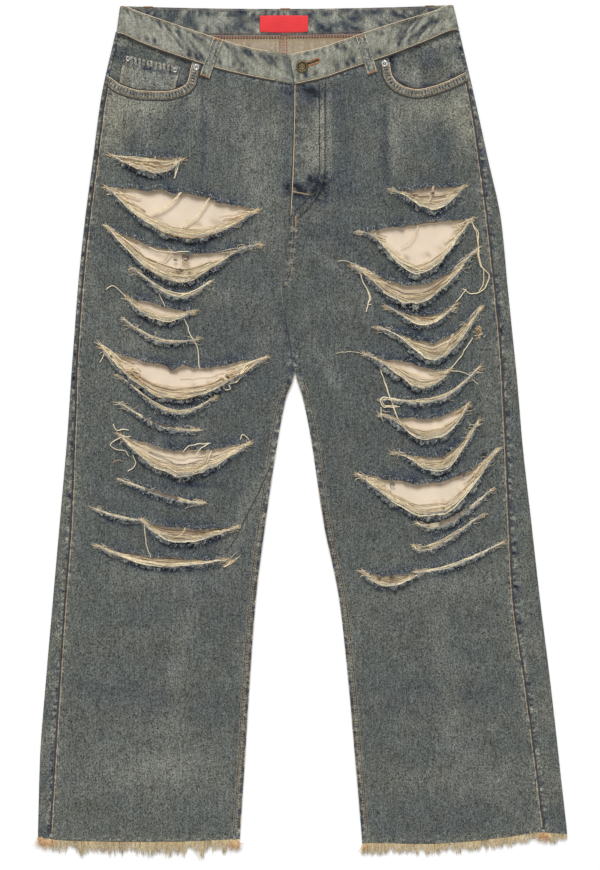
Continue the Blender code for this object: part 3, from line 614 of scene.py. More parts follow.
def mesh_from(name, points, faces, looks, marks=None, fields=None, crisp=math.radians(50)):
    """A piece from its points and face groups. marks are the material numbers of the groups."""
    mesh = bpy.data.meshes.new(name)
    faces = [np.asarray(group, dtype=np.int64) for group in faces if len(group)]
    marks = marks or [0] * len(faces)
    mesh.vertices.add(len(points))
    mesh.vertices.foreach_set("co", np.asarray(points, dtype=np.float32).ravel())
    sizes = np.concatenate([np.full(len(group), group.shape[1]) for group in faces])
    mesh.loops.add(int(sizes.sum()))
    corners = np.concatenate([group.ravel() for group in faces])
    mesh.loops.foreach_set("vertex_index", corners.astype(np.int32))
    mesh.polygons.add(len(sizes))
    mesh.polygons.foreach_set("loop_start", np.concatenate([[0], np.cumsum(sizes)[:-1]]).astype(np.int32))
    numbers = np.concatenate([np.full(len(group), mark) for group, mark in zip(faces, marks)])
    mesh.polygons.foreach_set("material_index", numbers.astype(np.int32))
    mesh.update(calc_edges=True)
    mesh.validate()
    mesh.shade_smooth()
    mesh.set_sharp_from_angle(angle=crisp)
    for field, values in (fields or {}).items():
        made = mesh.attributes.new(field, "FLOAT", "POINT")
        made.data.foreach_set("value", np.asarray(values, dtype=np.float32))
    for look in looks:
        mesh.materials.append(look)
    return placed(bpy.data.objects.new(name, mesh))


def unit_grid(columns, rows):
    """Shares from 0 to 1, across and down, for a grid of so many columns and rows of points."""
    return np.meshgrid(np.linspace(0, 1, columns), np.linspace(0, 1, rows))


def grid_faces(rows, columns):
    """The four-cornered faces of a grid of points, numbered row by row."""
    k = np.arange(rows * columns).reshape(rows, columns)
    return np.stack([k[:-1, :-1], k[1:, :-1], k[1:, 1:], k[:-1, 1:]], axis=-1).reshape(-1, 4)


def split(quads):
    """Two triangles from each four-cornered face."""
    return np.concatenate([quads[:, [0, 1, 2]], quads[:, [0, 2, 3]]])


def wound(faces, reverse):
    """The faces, with their corners in the other order where reverse is true."""
    return faces[:, ::-1] if reverse else faces


def ring_walls(numbers):
    """The faces between rings of points. The last axis of their numbers runs round each ring."""
    a, b = numbers[..., :-1, :], numbers[..., 1:, :]
    return np.stack([a, b, np.roll(b, -1, axis=-1), np.roll(a, -1, axis=-1)], axis=-1).reshape(-1, 4)


def normals_of(points, faces):
    """The normal at each point, from the faces round it."""
    total = np.zeros_like(points)
    for group in faces:
        corners = points[group]
        across = corners[:, 2] - corners[:, 0]
        other = corners[:, -1] - corners[:, 1] if group.shape[1] == 4 else corners[:, 1] - corners[:, 0]
        normal = np.cross(across, other) if group.shape[1] == 4 else np.cross(other, across)
        for k in range(group.shape[1]):
            np.add.at(total, group[:, k], normal)
    return total / np.maximum(np.linalg.norm(total, axis=1, keepdims=True), 1e-12)


def face_up(points, faces):
    """The faces, wound so that they look up."""
    return wound(faces, normals_of(points, [faces])[:, 2].mean() < 0)


def shell(name, points, faces, over, under, looks, fields=None, rim=0):
    """A wall round an open sheet: over is added on its face side and under on the other side."""
    group = np.asarray(faces)
    normal = normals_of(points, [group])
    count = len(points)
    following = np.roll(group, -1, axis=1)
    edges = np.concatenate([np.stack([group[:, k], following[:, k]], axis=1) for k in range(group.shape[1])])
    keys = np.sort(edges, axis=1)
    _, first, uses = np.unique(keys[:, 0] * count + keys[:, 1], return_index=True, return_counts=True)
    border = edges[first[uses == 1]]
    a, b = border[:, 0], border[:, 1]
    rims = np.stack([b, a, a + count, b + count], axis=1)
    outside = points + normal * np.reshape(over, (-1, 1))
    inside = points - normal * np.reshape(under, (-1, 1))
    both = np.concatenate([outside, inside])
    fields = {field: np.concatenate([values, values]) for field, values in (fields or {}).items()}
    return mesh_from(name, both, [group, group[:, ::-1] + count, rims], looks, [0, 1, rim], fields)


def trim(points, triangles, keep):
    """Cuts a flat sheet of triangles along the line where keep is zero, and drops what lies below it."""
    inside = keep > 0
    count = inside[triangles].sum(axis=1)
    whole = triangles[count == 3]
    mixed = triangles[(count == 1) | (count == 2)]
    lone = inside[mixed] == (inside[mixed].sum(axis=1) == 1)[:, None]
    turn = np.argmax(lone, axis=1)
    order = (turn[:, None] + np.arange(3)) % 3
    a, b, c = np.take_along_axis(mixed, order, axis=1).T
    pairs = np.sort(np.concatenate([np.stack([a, b], 1), np.stack([a, c], 1)]), axis=1)
    unique, where = np.unique(pairs, axis=0, return_inverse=True)
    where = where.ravel() + len(points)
    i, j = unique.T
    t = np.clip(keep[i] / (keep[i] - keep[j]), 0.04, 0.96)[:, None]
    points = np.concatenate([points, points[i] + (points[j] - points[i]) * t])
    ab, ac = where[: len(a)], where[len(a) :]
    one = inside[a]
    kept = np.concatenate([
        whole,
        np.stack([a[one], ab[one], ac[one]], 1),
        np.stack([ab[~one], b[~one], c[~one]], 1),
        np.stack([ab[~one], c[~one], ac[~one]], 1),
    ])
    used, renumbered = np.unique(kept, return_inverse=True)
    return points[used], renumbered.reshape(-1, 3)


def outline_depth(points, x, y):
    """How deep each place is inside a closed outline, and below zero outside it."""
    outline = np.asarray(points)
    nearest = np.full(np.shape(x), 1e9)
    inside = np.zeros(np.shape(x), dtype=bool)
    for (x0, y0), (x1, y1) in zip(outline, np.roll(outline, -1, axis=0)):
        dx, dy = x1 - x0, y1 - y0
        t = np.clip(((x - x0) * dx + (y - y0) * dy) / (dx * dx + dy * dy), 0.0, 1.0)
        nearest = np.minimum(nearest, np.hypot(x - x0 - t * dx, y - y0 - t * dy))
        crosses = (y0 > y) != (y1 > y)
        inside ^= crosses & (x < x0 + (y - y0) * dx / (dy if dy else 1e-12))
    return np.where(inside, nearest, -nearest)


class Strands:
    """Gathers thin round strands and makes them into one joined mesh."""

    def __init__(self):
        self.points, self.faces, self.tones, self.count = [], {3: [], 4: []}, [], 0

    def add(self, paths, radius, tone, sides=3, taper=1.0):
        """paths has a row of points for each strand. tone picks its colour, from 0 to 1."""
        paths = np.asarray(paths, dtype=float)
        if not len(paths):
            return
        many, steps, _ = paths.shape
        along = np.gradient(paths, axis=1)
        along /= np.maximum(np.linalg.norm(along, axis=2, keepdims=True), 1e-12)
        side = np.cross(along, (0.0, 0.0, 1.0))
        size = np.linalg.norm(side, axis=2, keepdims=True)
        side = np.where(size > 1e-3, side / np.maximum(size, 1e-12), (1.0, 0.0, 0.0))
        rise = np.cross(side, along)
        angles = 2 * math.pi * np.arange(sides) / sides
        ring = side[:, :, None] * np.cos(angles)[:, None] + rise[:, :, None] * np.sin(angles)[:, None]
        reach = np.broadcast_to(np.reshape(radius, (-1, 1)), (many, steps)) * np.linspace(1.0, taper, steps)
        points = paths[:, :, None] + ring * reach[:, :, None, None]
        k = self.count + np.arange(many * steps * sides).reshape(many, steps, sides)
        self.faces[4].append(ring_walls(k))
        self.faces[sides].append(k[:, 0])
        self.faces[sides].append(k[:, -1, ::-1])
        self.points.append(points.reshape(-1, 3))
        tone = np.reshape(tone, (many, steps, 1) if np.ndim(tone) == 2 else (-1, 1, 1))
        self.tones.append(np.broadcast_to(tone, (many, steps, sides)).ravel())
        self.count += many * steps * sides

    def build(self, name, look):
        """Makes the piece, whose material is the look."""
        faces = [np.concatenate(groups) for groups in self.faces.values() if groups]
        tones = {"tone": np.concatenate(self.tones)}
        return mesh_from(name, np.concatenate(self.points), faces, [look], fields=tones, crisp=math.pi)


def lengths_along(points):
    """How far along its path each point is."""
    return np.concatenate([[0.0], np.cumsum(np.linalg.norm(np.diff(points, axis=0), axis=1))])


def along_path(points, step):
    """Even points about step apart on a soft curve through the given ones."""
    points = np.asarray(points, dtype=float)
    places = lengths_along(points)
    at = np.linspace(0.0, places[-1], max(int(places[-1] / step), 1) + 1)
    if len(points) == 2:
        return np.stack([np.interp(at, places, c) for c in points.T], axis=1)
    return np.stack([smooth(at, places, c) for c in points.T], axis=1)


def beside(path, distance):
    """A flat path moved sideways, to its left."""
    along = np.gradient(path[:, :2], axis=0)
    along /= np.maximum(np.linalg.norm(along, axis=1, keepdims=True), 1e-12)
    moved = path.copy()
    moved[:, 0] -= along[:, 1] * distance
    moved[:, 1] += along[:, 0] * distance
    return moved


def stitch(strands, path, top, tone, up=1.0, scale=1.0, thick=1.0, dash=1.0):
    """A row of stitches along a flat path, on the surface that top(x, y) gives.

    up is -1 for a surface that looks down. scale lengthens the stitches, thick is the thread's radius in
    thread radii, and dash is how much of a stitch shows.
    """
    sizes = bpy.context.scene.jeans_sizes
    pitch = (sizes.stitch + sizes.stitch_gap) * scale
    fine = along_path(path, pitch / 4)
    places = lengths_along(fine)
    starts = np.arange(0.0, places[-1] - sizes.stitch * scale, pitch)
    at = starts[:, None] + sizes.stitch * scale * dash * np.array([0.0, 0.5, 1.0])
    x, y = (np.interp(at, places, fine[:, k]) for k in (0, 1))
    z = top(x, y) + up * sizes.stitch_radius * np.array([-0.4, 0.9, -0.4])
    spread = 0.08 * grain(x[:, 0], y[:, 0], 0.003, 8)
    strands.add(np.stack([x, y, z], axis=-1), sizes.stitch_radius * thick, np.clip(tone + spread, 0.0, 1.0))


# ------------------------------------------------------------------ materials
def connect(tree, node, inputs):
    """Gives a node its inputs, each of which is a value or another node's output."""
    for key, value in inputs.items():
        if isinstance(value, bpy.types.NodeSocket):
            tree.links.new(value, node.inputs[key])
        else:
            node.inputs[key].default_value = value


def add_node(tree, kind, inputs, **settings):
    """A new node, with its settings and its inputs."""
    made = tree.nodes.new(kind)
    for key, value in settings.items():
        setattr(made, key, value)
    connect(tree, made, inputs)
    return made


class Look:
    """A procedural material while it is put together, in the model's own metres."""

    def __init__(self, name, roughness, metallic=0.0, sheen=0.0):
        self.material = bpy.data.materials.new(name)
        self.material.use_nodes = True
        self.tree = self.material.node_tree
        self.shader = self.tree.nodes["Principled BSDF"]
        connect(self.tree, self.shader, {
            "Roughness": roughness,
            "Metallic": metallic,
            "Sheen Weight": sheen,
            "Sheen Roughness": 0.6,
            "Specular IOR Level": 0.5 if metallic else 0.25,
        })
        self.place = self.tree.nodes.new("ShaderNodeTexCoord").outputs["Object"]

    def node(self, kind, inputs, **settings):
        """A new node of this material."""
        return add_node(self.tree, kind, inputs, **settings)

    def field(self, name):
        """A value that the mesh carries at each of its points."""
        return self.node("ShaderNodeAttribute", {}, attribute_name=name).outputs["Fac"]

    def stretched(self, stretch):
        """The place, multiplied along each axis."""
        inputs = {0: self.place, 1: stretch}
        return self.node("ShaderNodeVectorMath", inputs, operation="MULTIPLY").outputs[0]

    def noise(self, size, detail=2.0, stretch=None, roughness=0.5):
        """Cloudy noise, with lumps about size across."""
        place = self.stretched(stretch) if stretch else self.place
        inputs = {"Vector": place, "Scale": 1.0 / size, "Detail": detail, "Roughness": roughness}
        return self.node("ShaderNodeTexNoise", inputs).outputs["Fac"]

    def cells(self, size, stretch):
        """A value from 0 to 1 for each short float of yarn."""
        inputs = {"Vector": self.stretched(stretch), "Scale": 1.0 / size, "Randomness": 1.0}
        made = self.node("ShaderNodeTexVoronoi", inputs)
        return self.node("ShaderNodeSeparateColor", {"Color": made.outputs["Color"]}).outputs["Red"]

    def twill(self, pitch):
        """Diagonal ribs of a twill."""
        inputs = {"Vector": self.place, "Scale": 0.5 / pitch, "Distortion": 0.6}
        inputs |= {"Detail": 1.0, "Detail Scale": 2.0}
        return self.node("ShaderNodeTexWave", inputs, bands_direction="DIAGONAL").outputs["Fac"]

    def math(self, operation, a, b=0.0):
        """One step of arithmetic on two values."""
        return self.node("ShaderNodeMath", {0: a, 1: b}, operation=operation).outputs[0]

    def times(self, a, b):
        """The product of two values."""
        return self.math("MULTIPLY", a, b)

    def span(self, value, low, high, to_low=0.0, to_high=1.0):
        """The value, moved from one range to another and kept within it."""
        inputs = {"Value": value, "From Min": low, "From Max": high, "To Min": to_low, "To Max": to_high}
        return self.node("ShaderNodeMapRange", inputs).outputs[0]

    def swing(self, noise, low, high):
        """Noise, which seldom leaves 0.3 to 0.7, as a value from low to high."""
        return self.span(noise, 0.3, 0.7, low, high)

    def blend(self, share, first, second):
        """A colour between two others, which are values or other nodes' outputs."""
        inputs = {0: share}
        for index, value in ((6, first), (7, second)):
            inputs[index] = value if isinstance(value, bpy.types.NodeSocket) else (*value, 1.0)
        return self.node("ShaderNodeMix", inputs, data_type="RGBA").outputs[2]

    def tint(self, colour_in, factor):
        """A colour, made lighter or darker."""
        inputs = {0: colour_in, "Scale": factor}
        return self.node("ShaderNodeVectorMath", inputs, operation="SCALE").outputs[0]

    def finish(self, colour_out, relief, distance, roughness):
        """Wires up the colour, the bump and the roughness."""
        bump = self.node("ShaderNodeBump", {"Height": relief, "Distance": distance, "Strength": 1.0})
        inputs = {"Base Color": colour_out, "Normal": bump.outputs["Normal"], "Roughness": roughness}
        connect(self.tree, self.shader, inputs)
        return self.material


# The materials so far, by name.
MADE = {}


def once(make):
    """Makes each material one time only, by its name."""

    def made(name, *values):
        if name not in MADE:
            MADE[name] = make(name, *values)
        return MADE[name]

    return made


@once
def denim_look(name, blue_share=0.5, light=1.0, coarse=1.0):
    """Washed denim: clouds of blue and olive, fine speckle, slubs, left indigo and painted shade, worn
    places and painted highlights, tinted places.
    """
    hues = bpy.context.scene.jeans_colours
    look = Look(name, 0.9, sheen=0.10)
    cloud = look.noise(0.042, 3.0)
    shift = 0.2 * (blue_share - 0.5)
    olive = look.span(cloud, 0.33 + shift, 0.67 + shift)
    base = look.blend(olive, tuple(c * light for c in hues.wash), tuple(c * light for c in hues.olive))
    base = look.blend(look.span(look.field("tint"), 0.0, 1.0, 0.0, 0.70), base, shade(136, 134, 115))
    spots = look.noise(0.0042, 2.0, stretch=(0.6, 1.0, 1.0))
    pale_rub = look.times(look.field("rub"), look.span(spots, 0.50, 0.38, 0.0, 0.9))
    dark_rub = look.times(look.field("rub"), look.span(spots, 0.50, 0.64, 0.0, 1.0))
    worn_and_highlight = look.math("MAXIMUM", look.span(look.field("worn_and_highlight"), 0.0, 1.0, 0.0, 0.9), pale_rub)
    base = look.blend(worn_and_highlight, base, tuple(hues.worn_and_highlight))
    speckle = look.noise(0.0019, 2.0, roughness=0.75)
    floats = look.cells(0.0011, (1.25, 0.70, 1.0))
    slub = look.noise(0.0022, 2.0, stretch=(1.0, 0.09, 1.0))
    clouded = look.noise(0.014, 2.0)
    strong = look.span(speckle, 0.32, 0.70, 1 - 0.52 * coarse, 1 + 0.56 * coarse)
    value = look.math("ADD", strong, look.span(floats, 0.0, 1.0, -0.56 * coarse, 0.62 * coarse))
    value = look.times(value, look.swing(slub, 0.80, 1.20))
    value = look.times(value, look.swing(clouded, 0.92, 1.08))
    ribs = look.twill(0.0011)
    value = look.times(value, look.span(ribs, 0.0, 1.0, 0.93, 1.05))
    base = look.tint(base, value)
    left = look.times(look.field("indigo_and_shade"), look.span(look.noise(0.005, 3.0), 0.30, 0.60, 0.45, 1.25))
    left = look.math("MAXIMUM", left, dark_rub)
    # The deepest values go on to near black: painted shadow.
    depth = look.span(look.field("indigo_and_shade"), 0.55, 1.0)
    dye_and_shade = look.tint(look.blend(depth, tuple(hues.indigo_and_shade), shade(25, 29, 37)), value)
    base = look.blend(look.math("MINIMUM", left, 1.0), base, dye_and_shade)
    relief = look.math("ADD", look.times(ribs, 0.5), speckle)
    return look.finish(base, relief, 0.00025, look.swing(speckle, 0.95, 0.82))


@once
def inside_look(name, hue, weave=0.0007, coarse=0.0):
    """The inside of the cloth: smooth and pale, with painted brown shade and a faint weave."""
    hues = bpy.context.scene.jeans_colours
    look = Look(name, 0.85, sheen=0.15)
    cloud = look.swing(look.noise(0.030, 3.0), 0.93, 1.05)
    slub = look.swing(look.noise(0.0012, 2.0, stretch=(1.0, 0.5, 1.0)), 0.975, 1.02)
    speckle = look.swing(look.noise(0.0018, 2.0), 1 - coarse, 1 + coarse)
    streak = look.noise(0.0030, 2.0, stretch=(1.0, 0.12, 1.0))
    streak = look.swing(streak, 1 - 0.6 * coarse, 1 + 0.6 * coarse)
    value = look.times(look.times(cloud, slub), look.times(speckle, streak))
    base = look.tint(hue, value)
    # Painted shade, brown, where the mesh carries it.
    base = look.blend(look.field("painted_shade"), base, tuple(hues.painted_shade))
    ribs = look.twill(weave)
    return look.finish(base, ribs, 0.00006, look.swing(look.noise(0.004), 0.8, 0.92))


@once
def yarn_look(name, dark, middle, pale):
    """Yarn whose colour goes from dark over middle to pale with each strand's own tone."""
    look = Look(name, 0.9, sheen=0.2)
    tone = look.field("tone")
    low = look.blend(look.span(tone, 0.0, 0.5), dark, middle)
    base = look.blend(look.span(tone, 0.5, 1.0), low, pale)
    mottle = look.noise(0.0022, 2.0)
    base = look.tint(base, look.swing(mottle, 0.80, 1.15))
    return look.finish(base, look.noise(0.0004, 1.0), 0.00008, look.swing(mottle, 0.95, 0.8))


@once
def metal_look(name, hue, dark, roughness):
    """Worn metal: tarnish in the low places and fine scratches."""
    look = Look(name, roughness, metallic=1.0)
    tarnish = look.math("MAXIMUM", look.span(look.noise(0.0022, 3.0), 0.42, 0.75), look.field("tarnish"))
    base = look.blend(tarnish, hue, dark)
    scratch = look.noise(0.0006, 2.0, stretch=(1.0, 0.2, 1.0))
    rough = look.span(tarnish, 0.0, 1.0, roughness - 0.08, roughness + 0.2)
    rough = look.math("ADD", rough, look.swing(scratch, -0.05, 0.05))
    return look.finish(base, scratch, 0.00004, rough)


@once
def label_look(name, hue):
    """Woven red ribbon."""
    look = Look(name, 0.65, sheen=0.1)
    ribbon = look.noise(0.0005, 1.0, stretch=(0.3, 1.0, 1.0))
    base = look.tint(hue, look.swing(ribbon, 0.90, 1.08))
    base = look.tint(base, look.swing(look.noise(0.012, 2.0), 0.94, 1.05))
    return look.finish(base, ribbon, 0.00008, look.swing(ribbon, 0.72, 0.6))


def denim_inside():
    """The inside of the cloth in front."""
    return inside_look("denim_inside", shade(190, 182, 166))


def fray_yarn():
    """Loose yarn, pale for the most part; its dark end also colours painted shadow lines."""
    return yarn_look("fray_yarn", shade(58, 52, 48), shade(212, 170, 116), shade(255, 242, 210))


def fuzz_yarn():
    """Short fibres, blue and pale."""
    return yarn_look("fuzz_yarn", shade(50, 66, 98), shade(134, 146, 156), shade(226, 226, 214))


def sewing_yarn():
    """Sewing thread, from dark over rust to pale."""
    hues = bpy.context.scene.jeans_colours
    return yarn_look("sewing_yarn", shade(36, 40, 46), tuple(hues.rust), tuple(hues.thread))


def put_on(piece, slot, *nodes):
    """Every piece rides on the one body, and stands for its solids where it has some."""
    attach(piece, "root")
    if nodes:
        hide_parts(*nodes)
    return piece


# ------------------------------------------------------------------ leg panels
# The columns of a back's mesh: on its flat part, round the fold, and on the strip that comes up in front.
# The rows of a panel are finest down to its lowest rip. A front has columns for its greatest width, and a
# back's rows start beneath the yoke.
BACK_FLAT, BACK_TURN, BACK_TOP = 50, 6, 7
RIPPED_DOWN_TO = -0.200
FRONT_WIDTH = 0.245
BACK_FROM_Y = 0.462

# Places where the dye is left or rubbed off, or that are yellowed, and a few of painted shade in creases, in
# a groove and under the fly's puckers: the middle, the half sizes, and the amounts of indigo and shade, of
# wear and highlight, and of tint.
STAIN_AND_SHADE_COLUMNS = ("x", "y", "wide", "high", "indigo_and_shade", "worn_and_highlight", "tint")
STAINS_AND_SHADE_RIGHT = (
    (-0.0160, 0.4290, 0.009, 0.013, 0.70, 0.0, 0.0),
    (-0.0180, 0.3080, 0.007, 0.013, 0.60, 0.0, 0.0),
    # Painted shadow in a groove under a rip's lower lip.
    (-0.1365, -0.0690, 0.030, 0.0030, 0.85, 0.0, 0.0),
    (-0.0200, 0.3600, 0.006, 0.060, 0.25, 0.0, 0.0),
    (-0.2380, 0.4000, 0.018, 0.050, 0.0, 0.25, 0.9),
    (-0.2000, 0.4150, 0.040, 0.014, 0.0, 0.35, 0.5),
    (-0.0850, 0.3900, 0.026, 0.050, 0.12, 0.0, 0.0),
    (-0.1250, 0.4000, 0.035, 0.030, 0.0, 0.20, 0.0),
    (-0.2100, 0.0900, 0.040, 0.050, 0.0, 0.08, 0.3),
    (-0.0600, 0.3000, 0.050, 0.110, 0.0, 0.16, 0.0),
    (-0.1950, -0.4300, 0.090, 0.060, 0.0, 0.10, 0.0),
    (-0.1700, -0.2900, 0.110, 0.090, 0.09, 0.0, 0.05),
    (-0.1000, -0.2200, 0.070, 0.060, 0.10, 0.0, 0.0),
    (-0.0700, 0.1000, 0.060, 0.150, 0.11, 0.0, 0.0),
    (-0.1200, -0.1900, 0.060, 0.030, 0.08, 0.0, 0.0),
    (-0.0865, 0.0655, 0.007, 0.0035, 1.0, 0.0, 0.0),
    # Painted shade along a crease.
    (-0.1264, 0.3600, 0.003, 0.050, 0.20, 0.0, 0.0),
    (-0.0450, 0.3600, 0.026, 0.070, 0.0, 0.13, 0.0),
)
STAINS_AND_SHADE_LEFT = (
    (0.0080, 0.4330, 0.024, 0.0080, 0.62, 0.0, 0.0),
    (0.0170, 0.4220, 0.018, 0.0100, 0.55, 0.0, 0.0),
    (0.0010, 0.4200, 0.012, 0.0050, 0.30, 0.0, 0.0),
    (0.0150, 0.3170, 0.022, 0.0120, 0.62, 0.0, 0.0),
    (0.0060, 0.3010, 0.026, 0.0130, 0.74, 0.0, 0.0),
    (0.0260, 0.3080, 0.012, 0.0220, 0.42, 0.0, 0.0),
    (-0.0060, 0.3070, 0.012, 0.0060, 0.50, 0.0, 0.0),
    # Painted shadows under the fly's puckers.
    (0.0030, 0.3940, 0.011, 0.0026, 0.42, 0.0, 0.0),
    (0.0020, 0.3800, 0.009, 0.0024, 0.30, 0.0, 0.0),
    (0.0030, 0.3580, 0.011, 0.0028, 0.40, 0.0, 0.0),
    (0.0060, 0.3400, 0.010, 0.0026, 0.32, 0.0, 0.0),
    (0.0180, 0.3700, 0.004, 0.070, 0.0, 0.22, 0.3),
    (0.0160, 0.2450, 0.030, 0.020, 0.20, 0.0, 0.0),
    (0.0100, 0.3400, 0.014, 0.050, 0.0, 0.30, 0.5),
    (0.2280, 0.3460, 0.010, 0.018, 0.80, 0.0, 0.0),
    (0.1700, 0.4100, 0.045, 0.016, 0.0, 0.30, 0.6),
    (0.2080, 0.3900, 0.018, 0.040, 0.0, 0.20, 0.7),
    (0.0550, 0.2900, 0.026, 0.050, 0.10, 0.0, 0.0),
    (0.1300, 0.3700, 0.030, 0.030, 0.0, 0.15, 0.0),
    (0.1700, -0.2900, 0.110, 0.110, 0.09, 0.0, 0.05),
    (0.0600, 0.0800, 0.050, 0.150, 0.07, 0.0, 0.0),
    (0.0250, 0.3850, 0.0042, 0.060, 0.0, 0.80, 0.5),
    (0.0335, 0.3700, 0.0036, 0.075, 0.0, 0.30, 0.5),
    # Painted shade along a crease.
    (0.1022, 0.3600, 0.0030, 0.045, 0.30, 0.0, 0.0),
    (0.0780, 0.3550, 0.014, 0.060, 0.0, 0.10, 0.0),
    (0.1600, -0.4950, 0.120, 0.030, 0.15, 0.0, 0.0),
)
stains_and_shade = {"r": named(STAIN_AND_SHADE_COLUMNS, STAINS_AND_SHADE_RIGHT), "l": named(STAIN_AND_SHADE_COLUMNS, STAINS_AND_SHADE_LEFT)}


def rows_down(top, sizes, coarser=1.0):
    """Heights in y from top to the hem, close together as far down as the cloth is ripped."""
    fine = np.arange(top, RIPPED_DOWN_TO, -sizes.fine_step * coarser)
    below = RIPPED_DOWN_TO - HEM_NOMINAL_Y
    coarse = np.linspace(RIPPED_DOWN_TO, HEM_NOMINAL_Y, int(below / (sizes.coarse_step * coarser)))
    return np.concatenate([fine, coarse])


def wash_fields(leg, x, y):
    """How much indigo and painted shade, wear and painted highlight, and tint the cloth has at each place of
    a front.
    """
    above, _ = edge_shares(leg, x, y, 0.0115, 0.0090)
    # Painted shadow in the gap under each frayed lip, as deep indigo that goes on to near black.
    below = lip_shadow_shares(leg, x, y)
    rope = seam_rope(leg, x, y)
    cloudy = 0.62 + 0.62 * grain(x, y, 0.013, 21) + 0.3 * grain(x, y, 0.005, 24)
    indigo_and_shade = 0.92 * above * cloudy + 1.5 * below + 0.75 * np.maximum(-rope, 0.0)
    worn_and_highlight = 0.45 * np.maximum(rope, 0.0) + 0.10 * np.maximum(grain(x, y, 0.020, 22), 0.0)
    tint = 0.30 * bell(x - section("seam_" + leg, y), 0.012)
    tint = tint + 0.25 * bell(y - hems[leg]("cut", x), 0.008)
    tint = tint + 0.10 * ease((-0.10 - y) / 0.10)
    ragged = 1.0 + 0.35 * grain(x, y, 0.010, 23)
    for spot in stains_and_shade[leg]:
        away = np.hypot((x - spot["x"]) / spot["wide"], (y - spot["y"]) / spot["high"])
        share = bell(away * ragged, 1.0)
        indigo_and_shade = indigo_and_shade + spot["indigo_and_shade"] * share
        worn_and_highlight = worn_and_highlight + spot["worn_and_highlight"] * share
        tint = tint + spot["tint"] * share
    # Painted shade in the folds' troughs and a painted highlight on their ridges.
    ruts = fold_rise(x, y)
    indigo_and_shade = indigo_and_shade + np.clip(-ruts * 350, 0.0, 0.3)
    worn_and_highlight = worn_and_highlight + np.clip(ruts * 300, 0.0, 0.25)
    fields = {"indigo_and_shade": indigo_and_shade, "worn_and_highlight": worn_and_highlight, "tint": tint}
    fields = {key: np.clip(values, 0, 1) for key, values in fields.items()}
    fields["rub"] = seam_rub(leg, x, y)
    return fields


def mouth_part(leg, step, past_seam, below_waist):
    """The part of a mouth's line between the outseam and the waistband."""
    line = along_path(MOUTHS[leg], step)
    line = line[SIGN[leg] * line[:, 0] < SIGN[leg] * section("seam_" + leg, line[:, 1]) + past_seam]
    return line[line[:, 1] < waist_seam(leg, line[:, 0]) - below_waist]


def mouth_outline(leg):
    """The whole opening that a front leaves for its pocket, up past the waist."""
    mouth, out, above = along_path(MOUTHS[leg], 0.002), MOUTHS[leg][0][0] + SIGN[leg] * 0.030, 0.560
    return [*map(tuple, mouth), (mouth[-1][0], above), (out, above), (out, mouth[0][1])]


def front_piece(leg, side, sign, sizes):
    """A ripped front, between the outseam and its inner edge."""
    rows = rows_down(SECTIONS[0][0], sizes)
    shares = np.linspace(0.0, 1.0, int(FRONT_WIDTH / sizes.fine_step) + 1)
    edge = section("inner_" + leg, rows) + sign * SEAM / 2
    if leg == "r":
        edge = edge + FLY_REACH * ease((rows - FLY_LOW_Y) / 0.020)
    start = section("seam_" + leg, rows) - sign * SEAM / 2
    x = mix(start[:, None], edge[:, None], shares)
    y = hem_line(leg, x, rows[:, None] + 0 * x)
    quads = grid_faces(*x.shape)
    triangles = split(wound(quads, sign > 0))
    x, y = x.ravel(), y.ravel()
    torn = sizes.jag * (grain(x, y * 0.7, 0.0040, 11) + 0.6 * grain(x, y, 0.0019, 12))
    keep = np.minimum(waist_seam(leg, x) - SEAM - y, -outline_depth(mouth_outline(leg), x, y))
    for rip in rips[leg]:
        keep = np.minimum(keep, torn - rip_depth(rip, x, y))
    flat, faces = trim(np.stack([x, y], axis=1), triangles, keep)
    x, y = flat.T
    points = np.stack([x, y, front_height(leg, x, y)], axis=1)
    looks = [denim_look("denim_front"), denim_inside()]
    half, fields = CLOTH / 2, wash_fields(leg, x, y)
    piece = shell("cloth_front_" + side, points, faces, half, half, looks, fields, rim=1)
    put_on(piece, "denim", "front_" + side)


def back_path(leg, y):
    """The middle of the back's wall, a column for each place from the inner edge round the fold."""
    sign = SIGN[leg]
    low, high = height("lift", y) + CLOTH / 2, height("fold", y)
    radius = (high - low) / 2
    centre = section("outer_" + leg, y) - sign * (radius + CLOTH / 2)
    start, end = back_inner(leg, y) + sign * SEAM / 2, section("seam_" + leg, y) + sign * SEAM / 2
    k = np.arange(BACK_FLAT + BACK_TURN + BACK_TOP + 1)
    angle = math.pi * (np.clip((k - BACK_FLAT) / BACK_TURN, 0.0, 1.0) - 0.5)
    flat = mix(start, centre, np.clip(k / BACK_FLAT, 0.0, 1.0))
    over = mix(centre, end, np.clip((k - BACK_FLAT - BACK_TURN) / BACK_TOP, 0.0, 1.0))
    bent = centre + sign * radius * np.cos(angle)
    x = np.where(k <= BACK_FLAT, flat, np.where(k <= BACK_FLAT + BACK_TURN, bent, over))
    return x, (low + high) / 2 + radius * np.sin(angle)


def yoke_seam(leg, x):
    """The seam under the yoke, in y."""
    reach = section("outer_" + leg, YOKE_SIDE_Y) - CENTRE_BACK_X
    return mix(YOKE_CENTRE_Y, YOKE_SIDE_Y, np.clip((x - CENTRE_BACK_X) / reach, 0.0, 1.0))


# How far the yoke is tucked up under the band at the side, and over what width.
YOKE_TUCKS = {"r": (0.0035, 0.006), "l": (0.0056, 0.011)}


def back_band_edge(edge, x):
    """The back's top or low edge in y: straight between the folds but for a slight dip."""
    (x0, y0), (x1, y1) = band_edge("r", edge)[-1], band_edge("l", edge)[-1]
    share = np.clip((x - x0) / (x1 - x0), 0.0, 1.0)
    return mix(y0, y1, share) - BAND_BACK_SAG * np.sin(math.pi * share)


def yoke_top(leg, x):
    """The yoke's top edge in y, which is tucked up under the band at the side."""
    rise, reach = YOKE_TUCKS[leg]
    tuck = rise * bell(x - float(section("outer_" + leg, 0.500)), reach)
    return np.minimum(back_band_edge("low", x), 0.5030) - 2 * SEAM + tuck


